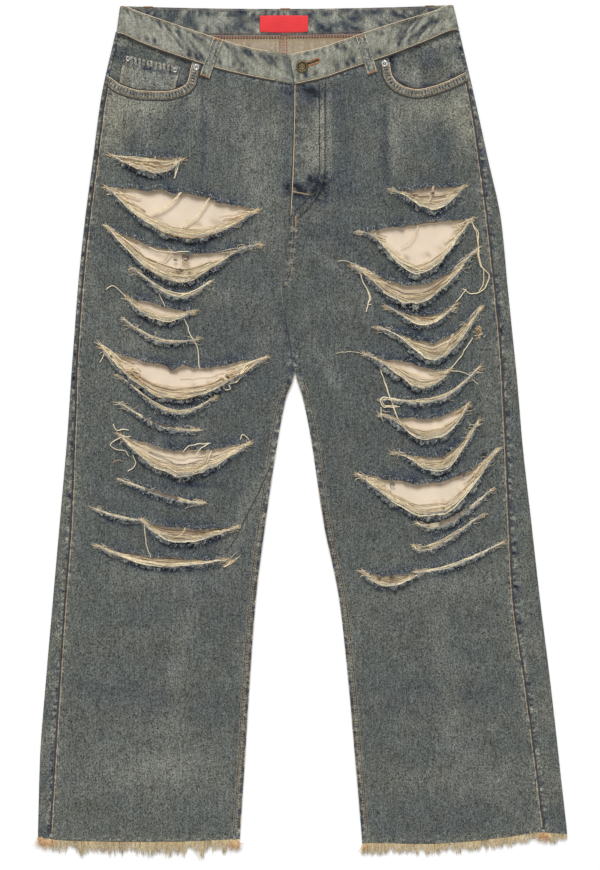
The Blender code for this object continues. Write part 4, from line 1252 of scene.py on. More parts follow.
def back_fields(leg, x, y, top_side):
    """Washed indigo and wear of the back, which is plain but for its seams and seat."""
    rope = seam_rope(leg, x, y)
    seat = bell(np.hypot((x - SIGN[leg] * 0.13) / 0.09, (y - 0.20) / 0.10), 1.0)
    knee = bell(np.hypot((x - SIGN[leg] * 0.17) / 0.07, (y + 0.12) / 0.12), 1.0)
    worn_and_highlight = 0.22 * seat + 0.16 * knee + 0.10 * np.maximum(grain(x, y, 0.025, 31), 0.0)
    worn_and_highlight = np.where(top_side, 0.55 * np.maximum(rope, 0.0) + 0.02, worn_and_highlight)
    plain = 0.15 * np.maximum(grain(x, y, 0.04, 32), 0.0)
    indigo_and_shade = np.where(top_side, 1.35 * np.maximum(-rope - 0.05, 0.0), plain)
    tint = np.where(top_side, 0.22 + 0.25 * grain(x, y, 0.03, 33), 0.15)
    rub = seam_rub(leg, x, y) * np.where(top_side, 1.0, 0.4)
    return {"indigo_and_shade": indigo_and_shade, "worn_and_highlight": worn_and_highlight, "tint": np.clip(tint, 0, 1), "rub": rub}


def back_piece(leg, sign, name, node, top, foot, shares, inside):
    """A piece of the back between two edges that are functions of x, round the folded side."""
    sizes = bpy.context.scene.jeans_sizes
    columns = BACK_FLAT + BACK_TURN + BACK_TOP + 1
    y = np.repeat(mix(top(0.0), foot(0.0), shares)[:, None], columns, axis=1)
    for _ in range(4):
        x, z = back_path(leg, y)
        y = mix(top(x), foot(x), shares[:, None])
    x, z = back_path(leg, y)
    k = np.broadcast_to(np.arange(columns), x.shape).ravel()
    y = hem_line(leg, x, y)
    quads = grid_faces(*x.shape)
    x, y, z = x.ravel(), y.ravel(), z.ravel()
    on_top, flat = k > BACK_FLAT + BACK_TURN - 2, k <= BACK_FLAT
    swell, painted_shade = inside_swell(leg, x, y)
    under = CLOTH / 2 + np.where(flat, sizes.swell * swell, 0.0)
    over = CLOTH / 2 + np.where(on_top, sizes.rope * 1.3 * seam_rope(leg, x, y), 0.0)
    fields = back_fields(leg, x, y, on_top)
    below_band = y - BAND_BACK_LOW_Y
    # Painted shade on the yoke's inside under the back band's low edge.
    band_shadow = 0.25 * bell(below_band, 0.012) * (0.6 + 0.6 * grain(x, y, 0.01, 34))
    band_shadow = 0.55 * bell(below_band, 0.0042) + band_shadow
    fields["painted_shade"] = np.where(flat, np.maximum(painted_shade, band_shadow * (y > 0.455)), 0.0)
    points = np.stack([x, y, z], axis=1)
    looks = [denim_look("washed_back"), inside]
    piece = shell(name, points, wound(quads, sign > 0), over, under, looks, fields)
    put_on(piece, "denim_back", node)


# ------------------------------------------------------------------ the waistband and what is sewn on
# The rows of faces across the band, how far its stitches lie from its edges, the length of its end that
# has a finer mesh for the buttonhole, and the height below which the band is behind.
BAND_ROWS = 30
STITCH_INSET = 0.0027
BUTTONHOLE_PART = 0.050
BEHIND_BELOW_Z = 0.0045


def band_stations():
    """The band's upper and lower edges, from the button end round the back to the buttonhole end."""
    edges = []
    for edge in ("top", "low"):
        right, left = band_edge("r", edge), band_edge("l", edge)
        under = BAND_FRONT_Z - BAND_STEP
        path = [(*left[1], under), (*right[0], under)]
        for share, drop in BAND_RAMP:
            path.append((*mix(right[0], right[1], share), BAND_FRONT_Z - drop))
        path += [(*point, BAND_FRONT_Z) for point in right[1:-1]]
        angles = math.pi * (np.linspace(1.0, 0.0, BACK_TURN + 1) - 0.5)
        radius = (BAND_FRONT_Z - BAND_BACK_Z) / 2
        level = (BAND_FRONT_Z + BAND_BACK_Z) / 2
        for sign, (px, py), order in ((-1.0, right[-1], angles), (1.0, left[-1], angles[::-1])):
            centre = px - sign * (radius + BAND_WALL / 2)
            path += [(centre + sign * radius * math.cos(a), py, level + radius * math.sin(a)) for a in order]
            if sign < 0:
                for px_back in np.linspace(right[-1][0], left[-1][0], 22)[2:-2]:
                    path.append((px_back, float(back_band_edge(edge, px_back)), BAND_BACK_Z))
        path += [(*point, BAND_FRONT_Z) for point in left[-2::-1]]
        edges.append(np.array(path))
    middle = (edges[0] + edges[1]) / 2
    return edges[0], edges[1], lengths_along(middle)


def along_band(edge, places, at):
    """The points of one edge of the band at the given lengths."""
    return np.stack([smooth(at, places, edge[:, k]) for k in range(3)], axis=1)


def band_grid():
    """Points of the band's middle, its length along s and its share v across from the top."""
    upper, lower, places = band_stations()
    total = places[-1]
    coarse = np.arange(0.0, total - BUTTONHOLE_PART, 0.0026)
    fine = np.arange(total - BUTTONHOLE_PART, total, 0.0011)
    at = np.concatenate([coarse, fine, [total]])
    top, low = along_band(upper, places, at), along_band(lower, places, at)
    v = np.linspace(0.0, 1.0, BAND_ROWS + 1)
    points = mix(top[:, None], low[:, None], v[:, None])
    s, v = np.broadcast_arrays(at[:, None], v)
    return points, s, v


def band_relief(s, v):
    """Pulls and puckers of the band, from about -1 to 1."""
    deep = BAND_DEPTH * v
    slashes = grain(s + 0.9 * deep, (deep - 0.7 * s) * 0.28, 0.0046, 41)
    crossing = grain(s - 0.9 * deep, (deep + 0.7 * s) * 0.28, 0.0046, 47)
    strong = 0.5 + 0.9 * np.maximum(grain(s, deep, 0.045, 48), 0.0)
    pulls = mix(slashes, crossing, ease((s - 0.10) / 0.55)) * strong
    pulls = pulls + 0.8 * grain(s, deep, 0.0150, 42)
    lower = deep > BAND_DEPTH / 2
    pitch = np.where(lower, 0.0122, 0.0104)
    waves = np.sin(2 * math.pi * s / pitch + 5.0 * grain(s, lower + 0 * s, 0.022, 43))
    calm = 0.65 + 0.75 * grain(s, lower + 0 * s, 0.034, 49)
    slanted = s + np.where(lower, -0.4, 0.4) * deep
    puckers = 0.6 * waves * calm + 1.1 * grain(slanted, deep * 0.5, 0.0052, 44)
    at_rows = np.maximum(bell(deep - 0.0068, 0.0048), bell(BAND_DEPTH - deep - 0.0074, 0.0056))
    return 0.66 * pulls * (1 - 0.4 * at_rows) + 0.70 * puckers * at_rows


def keyhole():
    """A slot that widens to a round eyelet at the button."""
    (ex, ey), (sx, sy) = BUTTON_AT, BUTTONHOLE_END
    heading = math.atan2(sy - ey, sx - ex)
    points = []
    for k in range(13):
        angle = heading + math.radians(38 + (360 - 76) * k / 12)
        points.append((ex + EYELET_RADIUS * math.cos(angle), ey + EYELET_RADIUS * math.sin(angle)))
    for k in range(7):
        angle = heading + math.radians(-90 + 180 * k / 6)
        points.append((sx + BUTTONHOLE_RADIUS * math.cos(angle), sy + BUTTONHOLE_RADIUS * math.sin(angle)))
    return points


def both_rows(v, inset, width):
    """How near each share v across the band is to a line at the inset from one of its edges."""
    near_top = bell(v * BAND_DEPTH - inset, width)
    return np.maximum(near_top, bell((1 - v) * BAND_DEPTH - inset, width))


def waistband():
    """The band from the button end round the back to the buttonhole end."""
    points, s, v = band_grid()
    triangles = split(grid_faces(*s.shape))
    flat = np.concatenate([points.reshape(-1, 3), s.reshape(-1, 1), v.reshape(-1, 1)], axis=1)
    near = flat[:, 3] > s.max() - BUTTONHOLE_PART - 0.010
    keep = np.where(near, -outline_depth(keyhole(), flat[:, 0], flat[:, 1]), 1.0)
    flat, faces = trim(flat, triangles, keep)
    s, v = flat[:, 3], flat[:, 4]
    relief = band_relief(s, v)
    edge = np.minimum(v, 1 - v) * BAND_DEPTH
    half = BAND_WALL / 2 * np.clip(0.30 + edge / 0.0016, 0.0, 1.0)
    dent = 0.00025 * both_rows(v, STITCH_INSET, 0.0008)
    over = half + 0.00055 * relief * np.clip(edge / 0.003, 0.15, 1.0) - dent
    under = half - 0.00030 * relief * np.clip(edge / 0.003, 0.0, 1.0)
    behind = flat[:, 2] < BEHIND_BELOW_Z
    rims = bell(np.minimum(v, 1 - v), 0.03)
    tint = np.clip(0.80 + 0.30 * grain(s, v * 0.04, 0.035, 46) + 0.5 * rims, 0, 1)
    fields = {
        "indigo_and_shade": np.clip(-relief * 1.5 - 0.16 + np.where(behind, 0.16, 0.0), 0, 0.74),
        "worn_and_highlight": np.clip(relief * 1.2 + np.where(behind, 0.20, 0.46), 0, 1),
        "rub": 0.45 * both_rows(v, 0.004, 0.004),
        "tint": tint * np.where(behind, 0.25, 1.0),
    }
    looks = [denim_look("denim_band", 0.1, 1.40, 0.50), denim_look("denim_band_inside", 1.0, 1.15, 0.6)]
    piece = shell("cloth_waistband", flat[:, :3], faces, over, under, looks, fields)
    put_on(piece, "band_denim", "waistband")


def band_line(v):
    """A line along the band at the share v across, with its points' own heights."""
    upper, lower, places = band_stations()
    at = np.linspace(0.0, places[-1], 500)
    return mix(along_band(upper, places, at), along_band(lower, places, at), v)


def flat_at(z):
    """A level surface at the height z."""
    return lambda x, y: 0 * x + z


def from_edge(share):
    """How near each share across a piece is to an edge: 0 there, and 0.5 in the middle."""
    return np.minimum(share, 1 - share)


def patch(name, corners, columns, rows, top_at, over, under, looks, fields, flip=False):
    """A four-cornered patch from its top left, top right, foot left and foot right corners.

    over and each of the fields are functions of the shares across and down and of x and y.
    """
    u, v = unit_grid(columns + 1, rows + 1)
    a, b, c, d = (np.array(corner) for corner in corners)
    place = mix(mix(a, b, u[..., None]), mix(c, d, u[..., None]), v[..., None])
    x, y = place[..., 0].ravel(), place[..., 1].ravel()
    points = np.stack([x, y, top_at(x, y)], axis=1)
    u, v = u.ravel(), v.ravel()
    values = {key: make(u, v, x, y) for key, make in fields.items()}
    faces = wound(grid_faces(rows + 1, columns + 1), flip)
    return shell(name, points, faces, over(u, v, x, y), under, looks, values)


def pocket_facings():
    """The cloth behind the mouths of the front pockets."""
    for leg, side, sign in SIDES:
        u, v = unit_grid(49, 25)
        near = MOUTHS[leg][-1][0] - sign * 0.0110
        x0 = mix(section("seam_" + leg, 0.48), near, u)
        y = mix(waist_seam(leg, x0) - SEAM, FACING_LOW_Y, v)
        x = mix(section("seam_" + leg, y) + sign * 0.0012, near, u)
        x, y = x.ravel(), y.ravel()
        sway = 0.0004 * grain(x, y, 0.020, 51)
        points = np.stack([x, y, front_height(leg, x, y) - FACING_DROP + sway], axis=1)
        # Painted shade on the facing near the mouth's edge.
        shade_in = bell(outline_depth(mouth_outline(leg), x, y), 0.007)
        fields = {
            "indigo_and_shade": np.clip(0.75 * shade_in + 0.55 * grain(x, y, 0.016, 52), 0, 1),
            "worn_and_highlight": np.clip(0.60 * grain(x, y, 0.013, 53) + 0.16, 0, 1),
            "tint": np.clip(0.15 + 0.3 * grain(x, y, 0.03, 54), 0, 1),
        }
        looks = [denim_look("denim_facing", 0.6, 1.02), denim_inside()]
        faces, half = wound(grid_faces(25, 49), sign > 0), CLOTH / 2
        piece = shell("cloth_pocket_facing_" + side, points, faces, half, half, looks, fields)
        put_on(piece, "facing_denim", "pocket_facing_" + side)


def coin_pocket():
    """The small pocket behind the right mouth, whose hem has a ladder of puckers."""
    hem, rung = 0.15, 0.0052

    def ladder(x):
        return np.sin(2 * math.pi * x / rung)

    def over(u, v, x, y):
        edge = np.minimum(from_edge(u) * 0.070, v * 0.055)
        raised = 0.0006 * (v < hem)
        wall = CLOTH / 2 * np.clip(0.4 + edge / 0.0020, 0, 1)
        return wall + raised + 0.00030 * ladder(x) * (v < hem) + 0.0002 * grain(x, y, 0.008, 55)

    def pale(u, v, x, y):
        rungs = 0.5 + 0.5 * ladder(x)
        sides = bell(from_edge(u) - 0.02, 0.030)
        rows = np.maximum(bell(v - 0.02, 0.025), bell(v - hem, 0.022))
        rubbed = 0.55 * (v < hem) * rungs + 0.60 * sides + 0.80 * rows
        return np.clip(rubbed + 0.30 * grain(x, y, 0.009, 56) + 0.22, 0, 1)

    def dark(u, v, x, y):
        # Painted shadow under the raised hem.
        hem_shadow = bell(v - 0.20, 0.05)
        gaps = np.maximum(-ladder(x), 0.0) * (v < hem)
        return np.clip(0.55 * hem_shadow + 0.35 * grain(x, y, 0.010, 57) + 0.8 * gaps, 0, 1)

    def yellowed(u, v, x, y):
        return 0.5 + 0.3 * grain(x, y, 0.02, 58) + 0.5 * (from_edge(u) < 0.06) + 0.4 * (v < 0.17)

    looks = [denim_look("denim_coin", 0.4, 1.40), denim_inside()]
    fields = {"indigo_and_shade": dark, "worn_and_highlight": pale, "tint": yellowed}
    top_at = lambda x, y: front_height("r", x, y) - COIN_DROP
    corners = (*COIN_TOP, *COIN_FOOT)
    piece = patch("cloth_coin_pocket", corners, 68, 28, top_at, over, CLOTH / 2, looks, fields)
    put_on(piece, "denim", "coin_pocket")


def mouth_bands():
    """The folded and twice stitched hems of the pocket mouths, with their puckers."""
    step = 0.0014
    for leg, side, sign in SIDES:
        line = mouth_part(leg, step, 0.0005, 0.001)
        across = np.array([-0.0005, 0.0006, 0.0022, 0.0040, 0.0060, 0.0078, 0.0092, 0.0100])
        tops = np.array([0.0002, 0.0009, 0.0011, 0.0010, 0.0009, 0.0010, 0.0008, 0.0002])
        paths = np.stack([beside(line, sign * d) for d in across], axis=1)
        along = np.arange(len(line))[:, None] * step
        rungs = np.sin(2 * math.pi * along / 0.0037 + 1.6 * grain(along, along, 0.02, 61)) + 0 * across
        inner = (across > 0.0015) * (across < 0.0085)
        x, y = paths[..., 0].ravel(), paths[..., 1].ravel()
        z = front_top(leg, x, y) + (tops + 0.00022 * rungs * inner).ravel()
        points = np.stack([x, y, z], axis=1)
        rungs = (rungs * inner).ravel()
        edge = bell(across - 0.0002, 0.0012) + 0.6 * bell(across - 0.0100, 0.0010)
        edge = np.broadcast_to(edge, paths.shape[:2]).ravel()
        fields = {
            "indigo_and_shade": np.clip(-1.5 * rungs + 0.30 * grain(x, y, 0.006, 62) - 0.05, 0, 0.9),
            "rub": 0.5 * (rungs != 0.0),
            "worn_and_highlight": np.clip(0.95 * rungs + 1.0 * edge + 0.12, 0, 1),
            "tint": np.clip(0.85 + 0.9 * edge, 0, 1),
        }
        faces = face_up(points, grid_faces(*paths.shape[:2]))
        looks = [denim_look("denim_mouth", 0.3, 1.18)] * 2
        put_on(shell("pocket_hem_" + side, points, faces, 0.0, CLOTH, looks, fields), "denim")


def step_towards(start, end):
    """The step of length 1 from one flat place towards another."""
    angle = math.atan2(end[1] - start[1], end[0] - start[0])
    return math.cos(angle), math.sin(angle)


def belt_loops():
    """The loops, bowed up in front and flat behind."""
    looks = [denim_look("denim_loop", 0.3, 1.24)] * 2

    def pale(u, v, x, y):
        ridge = bell(u - 0.5, 0.12) * (0.6 + grain(x, y, 0.006, 63))
        return np.clip(0.60 * bell(from_edge(u), 0.10) + 0.45 * ridge + 0.32, 0, 1)

    def dark(u, v, x, y):
        return np.clip(0.45 * bell(np.abs(u - 0.5) - 0.25, 0.10) * (0.7 + grain(x, y, 0.008, 64)), 0, 1)

    def yellowed(u, v, x, y):
        return 0.4 + 0.5 * bell(from_edge(u), 0.08)

    def bowed(u, v, x, y):
        bow = 0.0011 * np.sin(math.pi * v) ** 0.7
        ribs = 0.00022 * np.cos(2 * math.pi * (u - 0.5) * 2.0)
        rim = np.clip(0.35 + from_edge(u) / 0.10, 0, 1)
        ends = 0.0003 * (np.maximum(bell(v, 0.10), bell(1 - v, 0.10)))
        return (0.0009 + bow + ribs) * rim + 0.00015 * grain(x, y, 0.006, 65) - ends

    def plain(u, v, x, y):
        return 0.0006 * np.clip(0.4 + from_edge(u) / 0.12, 0, 1)

    def corners(top, foot):
        along_x, along_y = step_towards(top, foot)
        dx, dy = -along_y * LOOP_WIDTH / 2, along_x * LOOP_WIDTH / 2
        return [(x + way * dx, y + way * dy) for x, y in (top, foot) for way in (-1, 1)]

    fields = {"indigo_and_shade": dark, "worn_and_highlight": pale, "tint": yellowed}
    for name, top, foot in FRONT_LOOPS:
        at = corners(top, foot)
        piece = patch("cloth_" + name, at, 12, 34, flat_at(0.0090), bowed, 0.0008, looks, fields)
        put_on(piece, "denim", name)
    for name, x in BACK_LOOPS:
        at = corners((x, float(back_band_edge("top", x)) + 0.0009), (x, BACK_LOOP_LOW_Y))
        level = flat_at(0.0006)
        piece = patch("cloth_" + name, at, 10, 20, level, plain, 0.0006, looks, fields, flip=True)
        put_on(piece, "denim_back", name)


def pocket_sides(sign):
    """The near and far sides of a back pocket's top in x, and how far its foot is drawn in."""
    near, far = CENTRE_BACK_X + sign * BACK_POCKET_NEAR, CENTRE_BACK_X + sign * BACK_POCKET_FAR
    return near, far, sign * BACK_POCKET_TAPER


def back_pockets():
    """The two pockets behind, each with a pointed foot."""
    for leg, side, sign in SIDES:
        near, far, taper = pocket_sides(sign)
        u, v = unit_grid(41, 41)
        foot = mix(BACK_POCKET_TIP_Y, BACK_POCKET_SIDE_Y, np.abs(2 * u - 1))
        y = mix(BACK_POCKET_TOP_Y, foot, v)
        narrow = taper * np.clip((BACK_POCKET_TOP_Y - y) / (BACK_POCKET_TOP_Y - BACK_POCKET_SIDE_Y), 0, 1)
        x = mix(near + narrow, far - narrow, u)
        x, y = x.ravel(), y.ravel()
        edge = (np.minimum(from_edge(u) * BACK_POCKET_SIZE, from_edge(v) * BACK_POCKET_SIZE)).ravel()
        half = 0.0006 * np.clip(0.35 + edge / 0.0030, 0, 1)
        rope = np.sin(2 * math.pi * (x + y) / 0.012 + 2 * grain(x, y, 0.03, 71)) * bell(edge - 0.004, 0.004)
        worn_and_highlight = 0.5 * rope + 0.5 * bell(edge, 0.0015) + 0.2 * grain(x, y, 0.03, 72) + 0.1
        fields = {
            "indigo_and_shade": np.clip(-0.6 * rope + 0.1, 0, 1),
            "worn_and_highlight": np.clip(worn_and_highlight, 0, 1),
            "tint": np.full(len(x), 0.15),
        }
        points = np.stack([x, y, 0 * x + 0.0006], axis=1)
        faces = wound(grid_faces(41, 41), sign > 0)
        looks = [denim_look("washed_back")] * 2
        piece = shell("cloth_back_pocket_" + side, points, faces, half, half, looks, fields)
        put_on(piece, "denim_back", "back_pocket_" + side)


def waist_label():
    """The label inside the band, between its top and low edges, which both sag a little."""
    hues = bpy.context.scene.jeans_colours
    u, v = unit_grid(41, 17)
    x = mix(LABEL_X[0], LABEL_X[1], u)
    y = mix(LABEL_Y[1] + 0.0004 * np.sin(math.pi * u), LABEL_Y[0] - 0.0012 * np.sin(math.pi * u), v)
    x, y = x.ravel(), y.ravel()
    wide, high = LABEL_SIZE
    edge = np.minimum(from_edge(u) * wide, from_edge(v) * high).ravel()
    fold = 0.00012 * (from_edge(u).ravel() * wide < 0.0025)
    bow = 0.0005 * np.sin(math.pi * v.ravel()) + 0.00012 * grain(x, y, 0.008, 73)
    points = np.stack([x, y, 0.0045 + bow], axis=1)
    look = label_look("label_red", tuple(hues.label))
    over = 0.0004 * np.clip(0.4 + edge / 0.0012, 0, 1) + fold
    piece = shell("cloth_waist_label", points, grid_faces(17, 41), over, 0.0003, [look, look])
    put_on(piece, "label_cloth", "waist_label")


# ------------------------------------------------------------------ metal
def turned(name, at, profile, steps, look, slot, node, dark_at, dents=0.0):
    """A round piece from its profile of (radius, z), listed from the top down.

    dark_at is where its tarnish lies and how wide that is, in shares of the radius.
    """
    radii, heights = np.array(profile).T
    angles = 2 * math.pi * np.arange(steps) / steps
    x = at[0] + radii[:, None] * np.cos(angles)
    y = at[1] + radii[:, None] * np.sin(angles)
    z = heights[:, None] + dents * grain(x, y, 0.0012, 81)
    points = np.stack([x, y, z], axis=-1).reshape(-1, 3)
    k = np.arange(len(radii) * steps).reshape(-1, steps)
    walls = ring_walls(k)
    points = np.concatenate([points, [(*at, heights[0]), (*at, heights[-1])]])
    top, foot = len(points) - 2, len(points) - 1
    caps = [(top, first, after) for first, after in zip(k[0], np.roll(k[0], -1))]
    caps += [(foot, after, first) for first, after in zip(k[-1], np.roll(k[-1], -1))]
    away = np.hypot(points[:, 0] - at[0], points[:, 1] - at[1]) / radii.max()
    fields = {"tarnish": bell(away - dark_at[0], dark_at[1])}
    return put_on(mesh_from(name, points, [walls, np.array(caps)], [look], fields=fields), slot, node)


def button():
    """The button in the keyhole, with a shank below it."""
    hues = bpy.context.scene.jeans_colours
    look = metal_look("button_metal", tuple(hues.bronze), shade(34, 31, 27), 0.42)
    low = 0.0084
    face = (
        (0.12, 0.0019), (0.20, 0.0016), (0.24, 0.0012), (0.44, 0.0011), (0.50, 0.0014), (0.55, 0.0014),
        (0.59, 0.0010), (0.66, 0.0011), (0.74, 0.0022), (0.84, 0.0024), (0.93, 0.0020), (0.98, 0.0012),
        (0.96, 0.0004), (0.86, 0.0001),
    )
    shank = ((0.0030, low), (0.0019, low - 0.0004), (0.0019, 0.0060), (0.0010, 0.0058))
    profile = [(0.0006, low + 0.0019)]
    profile += [(BUTTON_RADIUS * share, low + rise) for share, rise in face]
    profile += shank
    turned("metal_button", BUTTON_AT, profile, 48, look, "bronze", "button", (0.60, 0.10), 0.00012)


def rivets():
    """The rivets of the pockets, each with a raised ring and a raised middle."""
    hues = bpy.context.scene.jeans_colours
    look = metal_look("rivet_metal", tuple(hues.nickel), shade(48, 46, 42), 0.36)
    form = (
        (0.16, 0.0010), (0.26, 0.0004), (0.40, 0.0003), (0.50, 0.0009), (0.68, 0.0012), (0.86, 0.0009),
        (1.0, 0.0), (0.94, -0.0004), (0.3, -0.0005),
    )
    for name, at, radius, drop in RIVETS:
        leg = "r" if at[0] < 0 else "l"
        seat = float(front_top(leg, *np.array([[at[0]], [at[1]]]))[0]) - drop + SEAM + 0.0006
        profile = [(0.0004, seat + 0.0011)] + [(radius * share, seat + rise) for share, rise in form]
        turned("metal_" + name, at, profile, 32, look, "nickel", name, (0.30, 0.16))


# ------------------------------------------------------------------ what is torn
# A little over a full turn, for random angles, and the fill above which a rip has single loose yarns too.
ANY_PHASE = 6.3
LOOSE_FILL = 0.42


def inside_top(leg, x, y):
    """The inside of the back, where the openings show it."""
    sizes = bpy.context.scene.jeans_sizes
    return height("lift", y) + CLOTH + sizes.swell * inside_swell(leg, x, y)[0]


def weft_level(leg, rip, x, y, share, w):
    """How high loose weft lies: on the cloth at its ends and at the lip, and on the inside between."""
    top = front_top(leg, x, y)
    if rip["deep"] < SLIT_DEPTH:
        return top + 0.0002
    at_end = 1 - ease(np.minimum(share, 1 - share) / 0.14)
    at_lip = ease((w - 0.80) / 0.22)
    sizes = bpy.context.scene.jeans_sizes
    arch = np.sin(math.pi * np.clip(share, 0.0, 1.0)) ** 0.45
    lip = 1.05 * sizes.ledge_rise * lip_growth(rip) * arch * ease((w - 0.97) / 0.05)
    hangs = 0.62 * ease((0.040 - rip["deep"]) / 0.022) * ease(w / 0.35)
    base = mix(inside_top(leg, x, y) + 0.0005, top - 0.0006, hangs)
    return mix(base, top + 0.0003 + lip, np.maximum(at_end, at_lip))


def weft_bundle(strands, leg, rip, rng, w0, many, spread, twist, radius, tone, ends=(0.0, 1.0), steps=17):
    """Yarns that hang together between two ends along a rip, at the share w0 down from its upper edge.

    spread is how far they drift apart, as a share of the rip's depth, and twist how far they wind round
    one another.
    """
    share = np.linspace(ends[0], ends[1], steps)[None, :] + np.zeros((many, 1))
    x = mix(rip["x0"], rip["x1"], share)
    _, upper, lower = rip_edges(rip, x)
    drift = rng.uniform(-spread, spread, (many, 1)) + spread * 0.8 * rng.uniform(-1, 1, (many, 1)) * np.sin(
        2 * math.pi * share * rng.uniform(0.5, 2.2, (many, 1)) + rng.uniform(0, ANY_PHASE, (many, 1))
    )
    w = w0 + drift * np.sin(math.pi * np.clip(share, 0.03, 0.97)) ** 0.5
    y = mix(upper, lower, w)
    wobble = 0.0005 * grain(share * 40 + 9 * rng.uniform(0, 9, (many, 1)), w0 + share, 1.0, 91)
    phase = rng.uniform(0, 2 * math.pi, (many, 1)) + 2 * math.pi * share * rng.uniform(2, 5)
    y = y + twist * np.cos(phase) + wobble
    z = weft_level(leg, rip, x, y, share, w) + twist * (1 + np.sin(phase))
    z = z + rng.uniform(0, 0.0005, (many, 1))
    tones = np.clip(tone + 0.17 + rng.normal(0, 0.16, many), 0.0, 1.0)
    tones = np.where(rng.random(many) < 0.09, rng.uniform(0.05, 0.35, many), tones)
    strands.add(np.stack([x, y, z], axis=-1), radius * rng.uniform(0.75, 1.25, many), tones)


def weft(strands, leg, rip, rng, sizes):
    """The loose weft of one rip: dense along the lip, thin across, and drapes from the upper edge."""
    deep, fill = rip["deep"], rip["fill"]
    scale = rip["wide"] / 0.20

    def bundle(w0, many, spread, twist, thick, tone, *where):
        weft_bundle(strands, leg, rip, rng, w0, many, spread, twist, sizes.weft * thick, tone, *where)

    if deep < SLIT_DEPTH:
        parts, steps = (((0.0, 1.0),), 17) if fill > 0.85 else (((0.0, 0.30), (0.70, 1.0)), 8)
        for w0 in (0.20, 0.45, 0.70, 0.95):
            for ends in parts:
                bundle(w0, int(2 + 3 * scale), 0.18, 0.0005, 1.15, 0.90, ends, steps)
        return
    band = min(0.0120 / deep, 0.46)
    for w0 in np.linspace(1.00, 1.0 - band, 6):
        bundle(w0, int(1 + (4.6 - 3.4 * (1.00 - w0) / band) * scale), 0.12 * band, 0.0004, 1.05, 0.84)
    for _ in range(2):
        start = rng.uniform(0.02, 0.35)
        ends = (start, start + rng.uniform(0.35, 0.6))
        bundle(1.0 + 0.0012 / deep, 2, 0.0010 / deep, 0.0003, 1.25, 1.0, ends)
    bundle(0.02, int(1 + 2 * scale), 0.02, 0.0003, 1.1, 0.95, (0.02, 0.98))
    if fill > LOOSE_FILL:
        ends = (rng.uniform(0.0, 0.10), rng.uniform(0.85, 1.0))
        bundle(rng.uniform(0.3, 0.90 - band), 2, 0.02, 0.0004, 1.0, 0.85, ends, 20)
    dense = ease((fill - 0.5) / 0.5)
    for w0 in rng.uniform(0.04, 0.98, int((1 + 36 * dense) * scale)):
        middle, half = rng.uniform(0.2, 0.8), rng.uniform(0.15, 0.45)
        bundle(w0, 1, 0.06, 0.0002, 0.8, 0.86, (max(middle - half, 0.01), min(middle + half, 0.99)), 14)
    for low, high in ((0.10, 0.26), (0.74, 0.90)):
        for w0 in rng.uniform(0.0, 1.0, int(7 + 9 * scale)):
            end = rng.uniform(low, high)
            bundle(w0, 1, 0.15, 0.0003, 1.0, 0.86, (0.0, end) if high < 0.5 else (end, 1.0), 9)
    if fill > LOOSE_FILL:
        # Dark yarns laid where the rips show dark lines of shade: painted shadow.
        shadow_lines = (0.55, 0.30) if deep < 0.0125 else (0.55,)
        if deep < 0.020 and fill < 0.50:
            shadow_lines = (0.18, 0.42, 0.66)
        for w0 in shadow_lines:
            ends = (rng.uniform(0.06, 0.28), rng.uniform(0.68, 0.92))
            bundle(w0, 2, 0.10, 0.0003, 1.2, -0.03, ends, 26)
    if deep > 0.016 and fill > LOOSE_FILL:
        drapes(strands, leg, rip, rng, sizes)


def drapes(strands, leg, rip, rng, sizes):
    """Bundles that come down from the upper edge and run out along the lower lip."""
    t = np.linspace(0, 1, 18)
    for _ in range(1 + int(rip["fill"] * 1.5)):
        start = rng.uniform(0.22, 0.82)
        run = rng.uniform(0.10, 0.26) * rng.choice([-1, -1, 1])
        foot = rng.uniform(0.62, 0.93)
        many = rng.integers(3, 6)
        paths = []
        for k in range(many):
            sway = 0.010 * rng.uniform(-1, 1) * np.sin(3 * t)
            share = np.clip(start + 0.006 * k + run * t**1.3 + sway, 0.03, 0.97)
            x = mix(rip["x0"], rip["x1"], share)
            _, upper, lower = rip_edges(rip, x)
            w = foot * np.sin(0.5 * math.pi * t) ** 0.8 + 0.02 * rng.uniform(-1, 1) * t
            y = mix(upper, lower, w)
            rise = mix(front_top(leg, x, y), inside_top(leg, x, y) + 0.0009, ease(t / 0.35))
            z = rise + 0.0012 * np.sin(math.pi * t) + rng.uniform(0, 0.0005)
            paths.append(np.stack([x, y, z], axis=-1))
        strands.add(np.array(paths), sizes.weft * rng.uniform(0.8, 1.1, many), rng.uniform(0.74, 0.98, many))


def curls(strands, leg, rip, rng, sizes):
    """Small knots and loops of yarn at the corners and along the lip."""
    many = int(4 + 16 * rip["wide"] / 0.20)
    t = np.linspace(0, 1, 14)
    paths = []
    for _ in range(many):
        share = rng.choice([rng.uniform(0.02, 0.15), rng.uniform(0.85, 0.98), rng.uniform(0.15, 0.85)])
        x0 = mix(rip["x0"], rip["x1"], share)
        lower = float(rip_edges(rip, np.array([x0]))[2][0])
        size = rng.uniform(0.0012, 0.0034)
        turn, lean = rng.uniform(2.5, 8.0), rng.uniform(0, ANY_PHASE)
        heading = rng.uniform(-0.5, 0.5)
        run = rng.uniform(0.003, 0.012)
        x = x0 + run * t * math.cos(heading) * rng.choice([-1, 1]) + size * np.cos(lean + turn * t)
        y = lower + rng.uniform(-0.002, 0.003) + run * t * math.sin(heading)
        y = y + 0.7 * size * np.sin(lean + turn * t)
        z = front_top(leg, x, y) + 0.0005 + 0.0011 * np.sin(math.pi * t) + rng.uniform(0, 0.0006)
        paths.append(np.stack([x, y, z], axis=-1))
    strands.add(np.array(paths), sizes.weft * rng.uniform(0.6, 1.0, many), rng.uniform(0.68, 1.0, many))


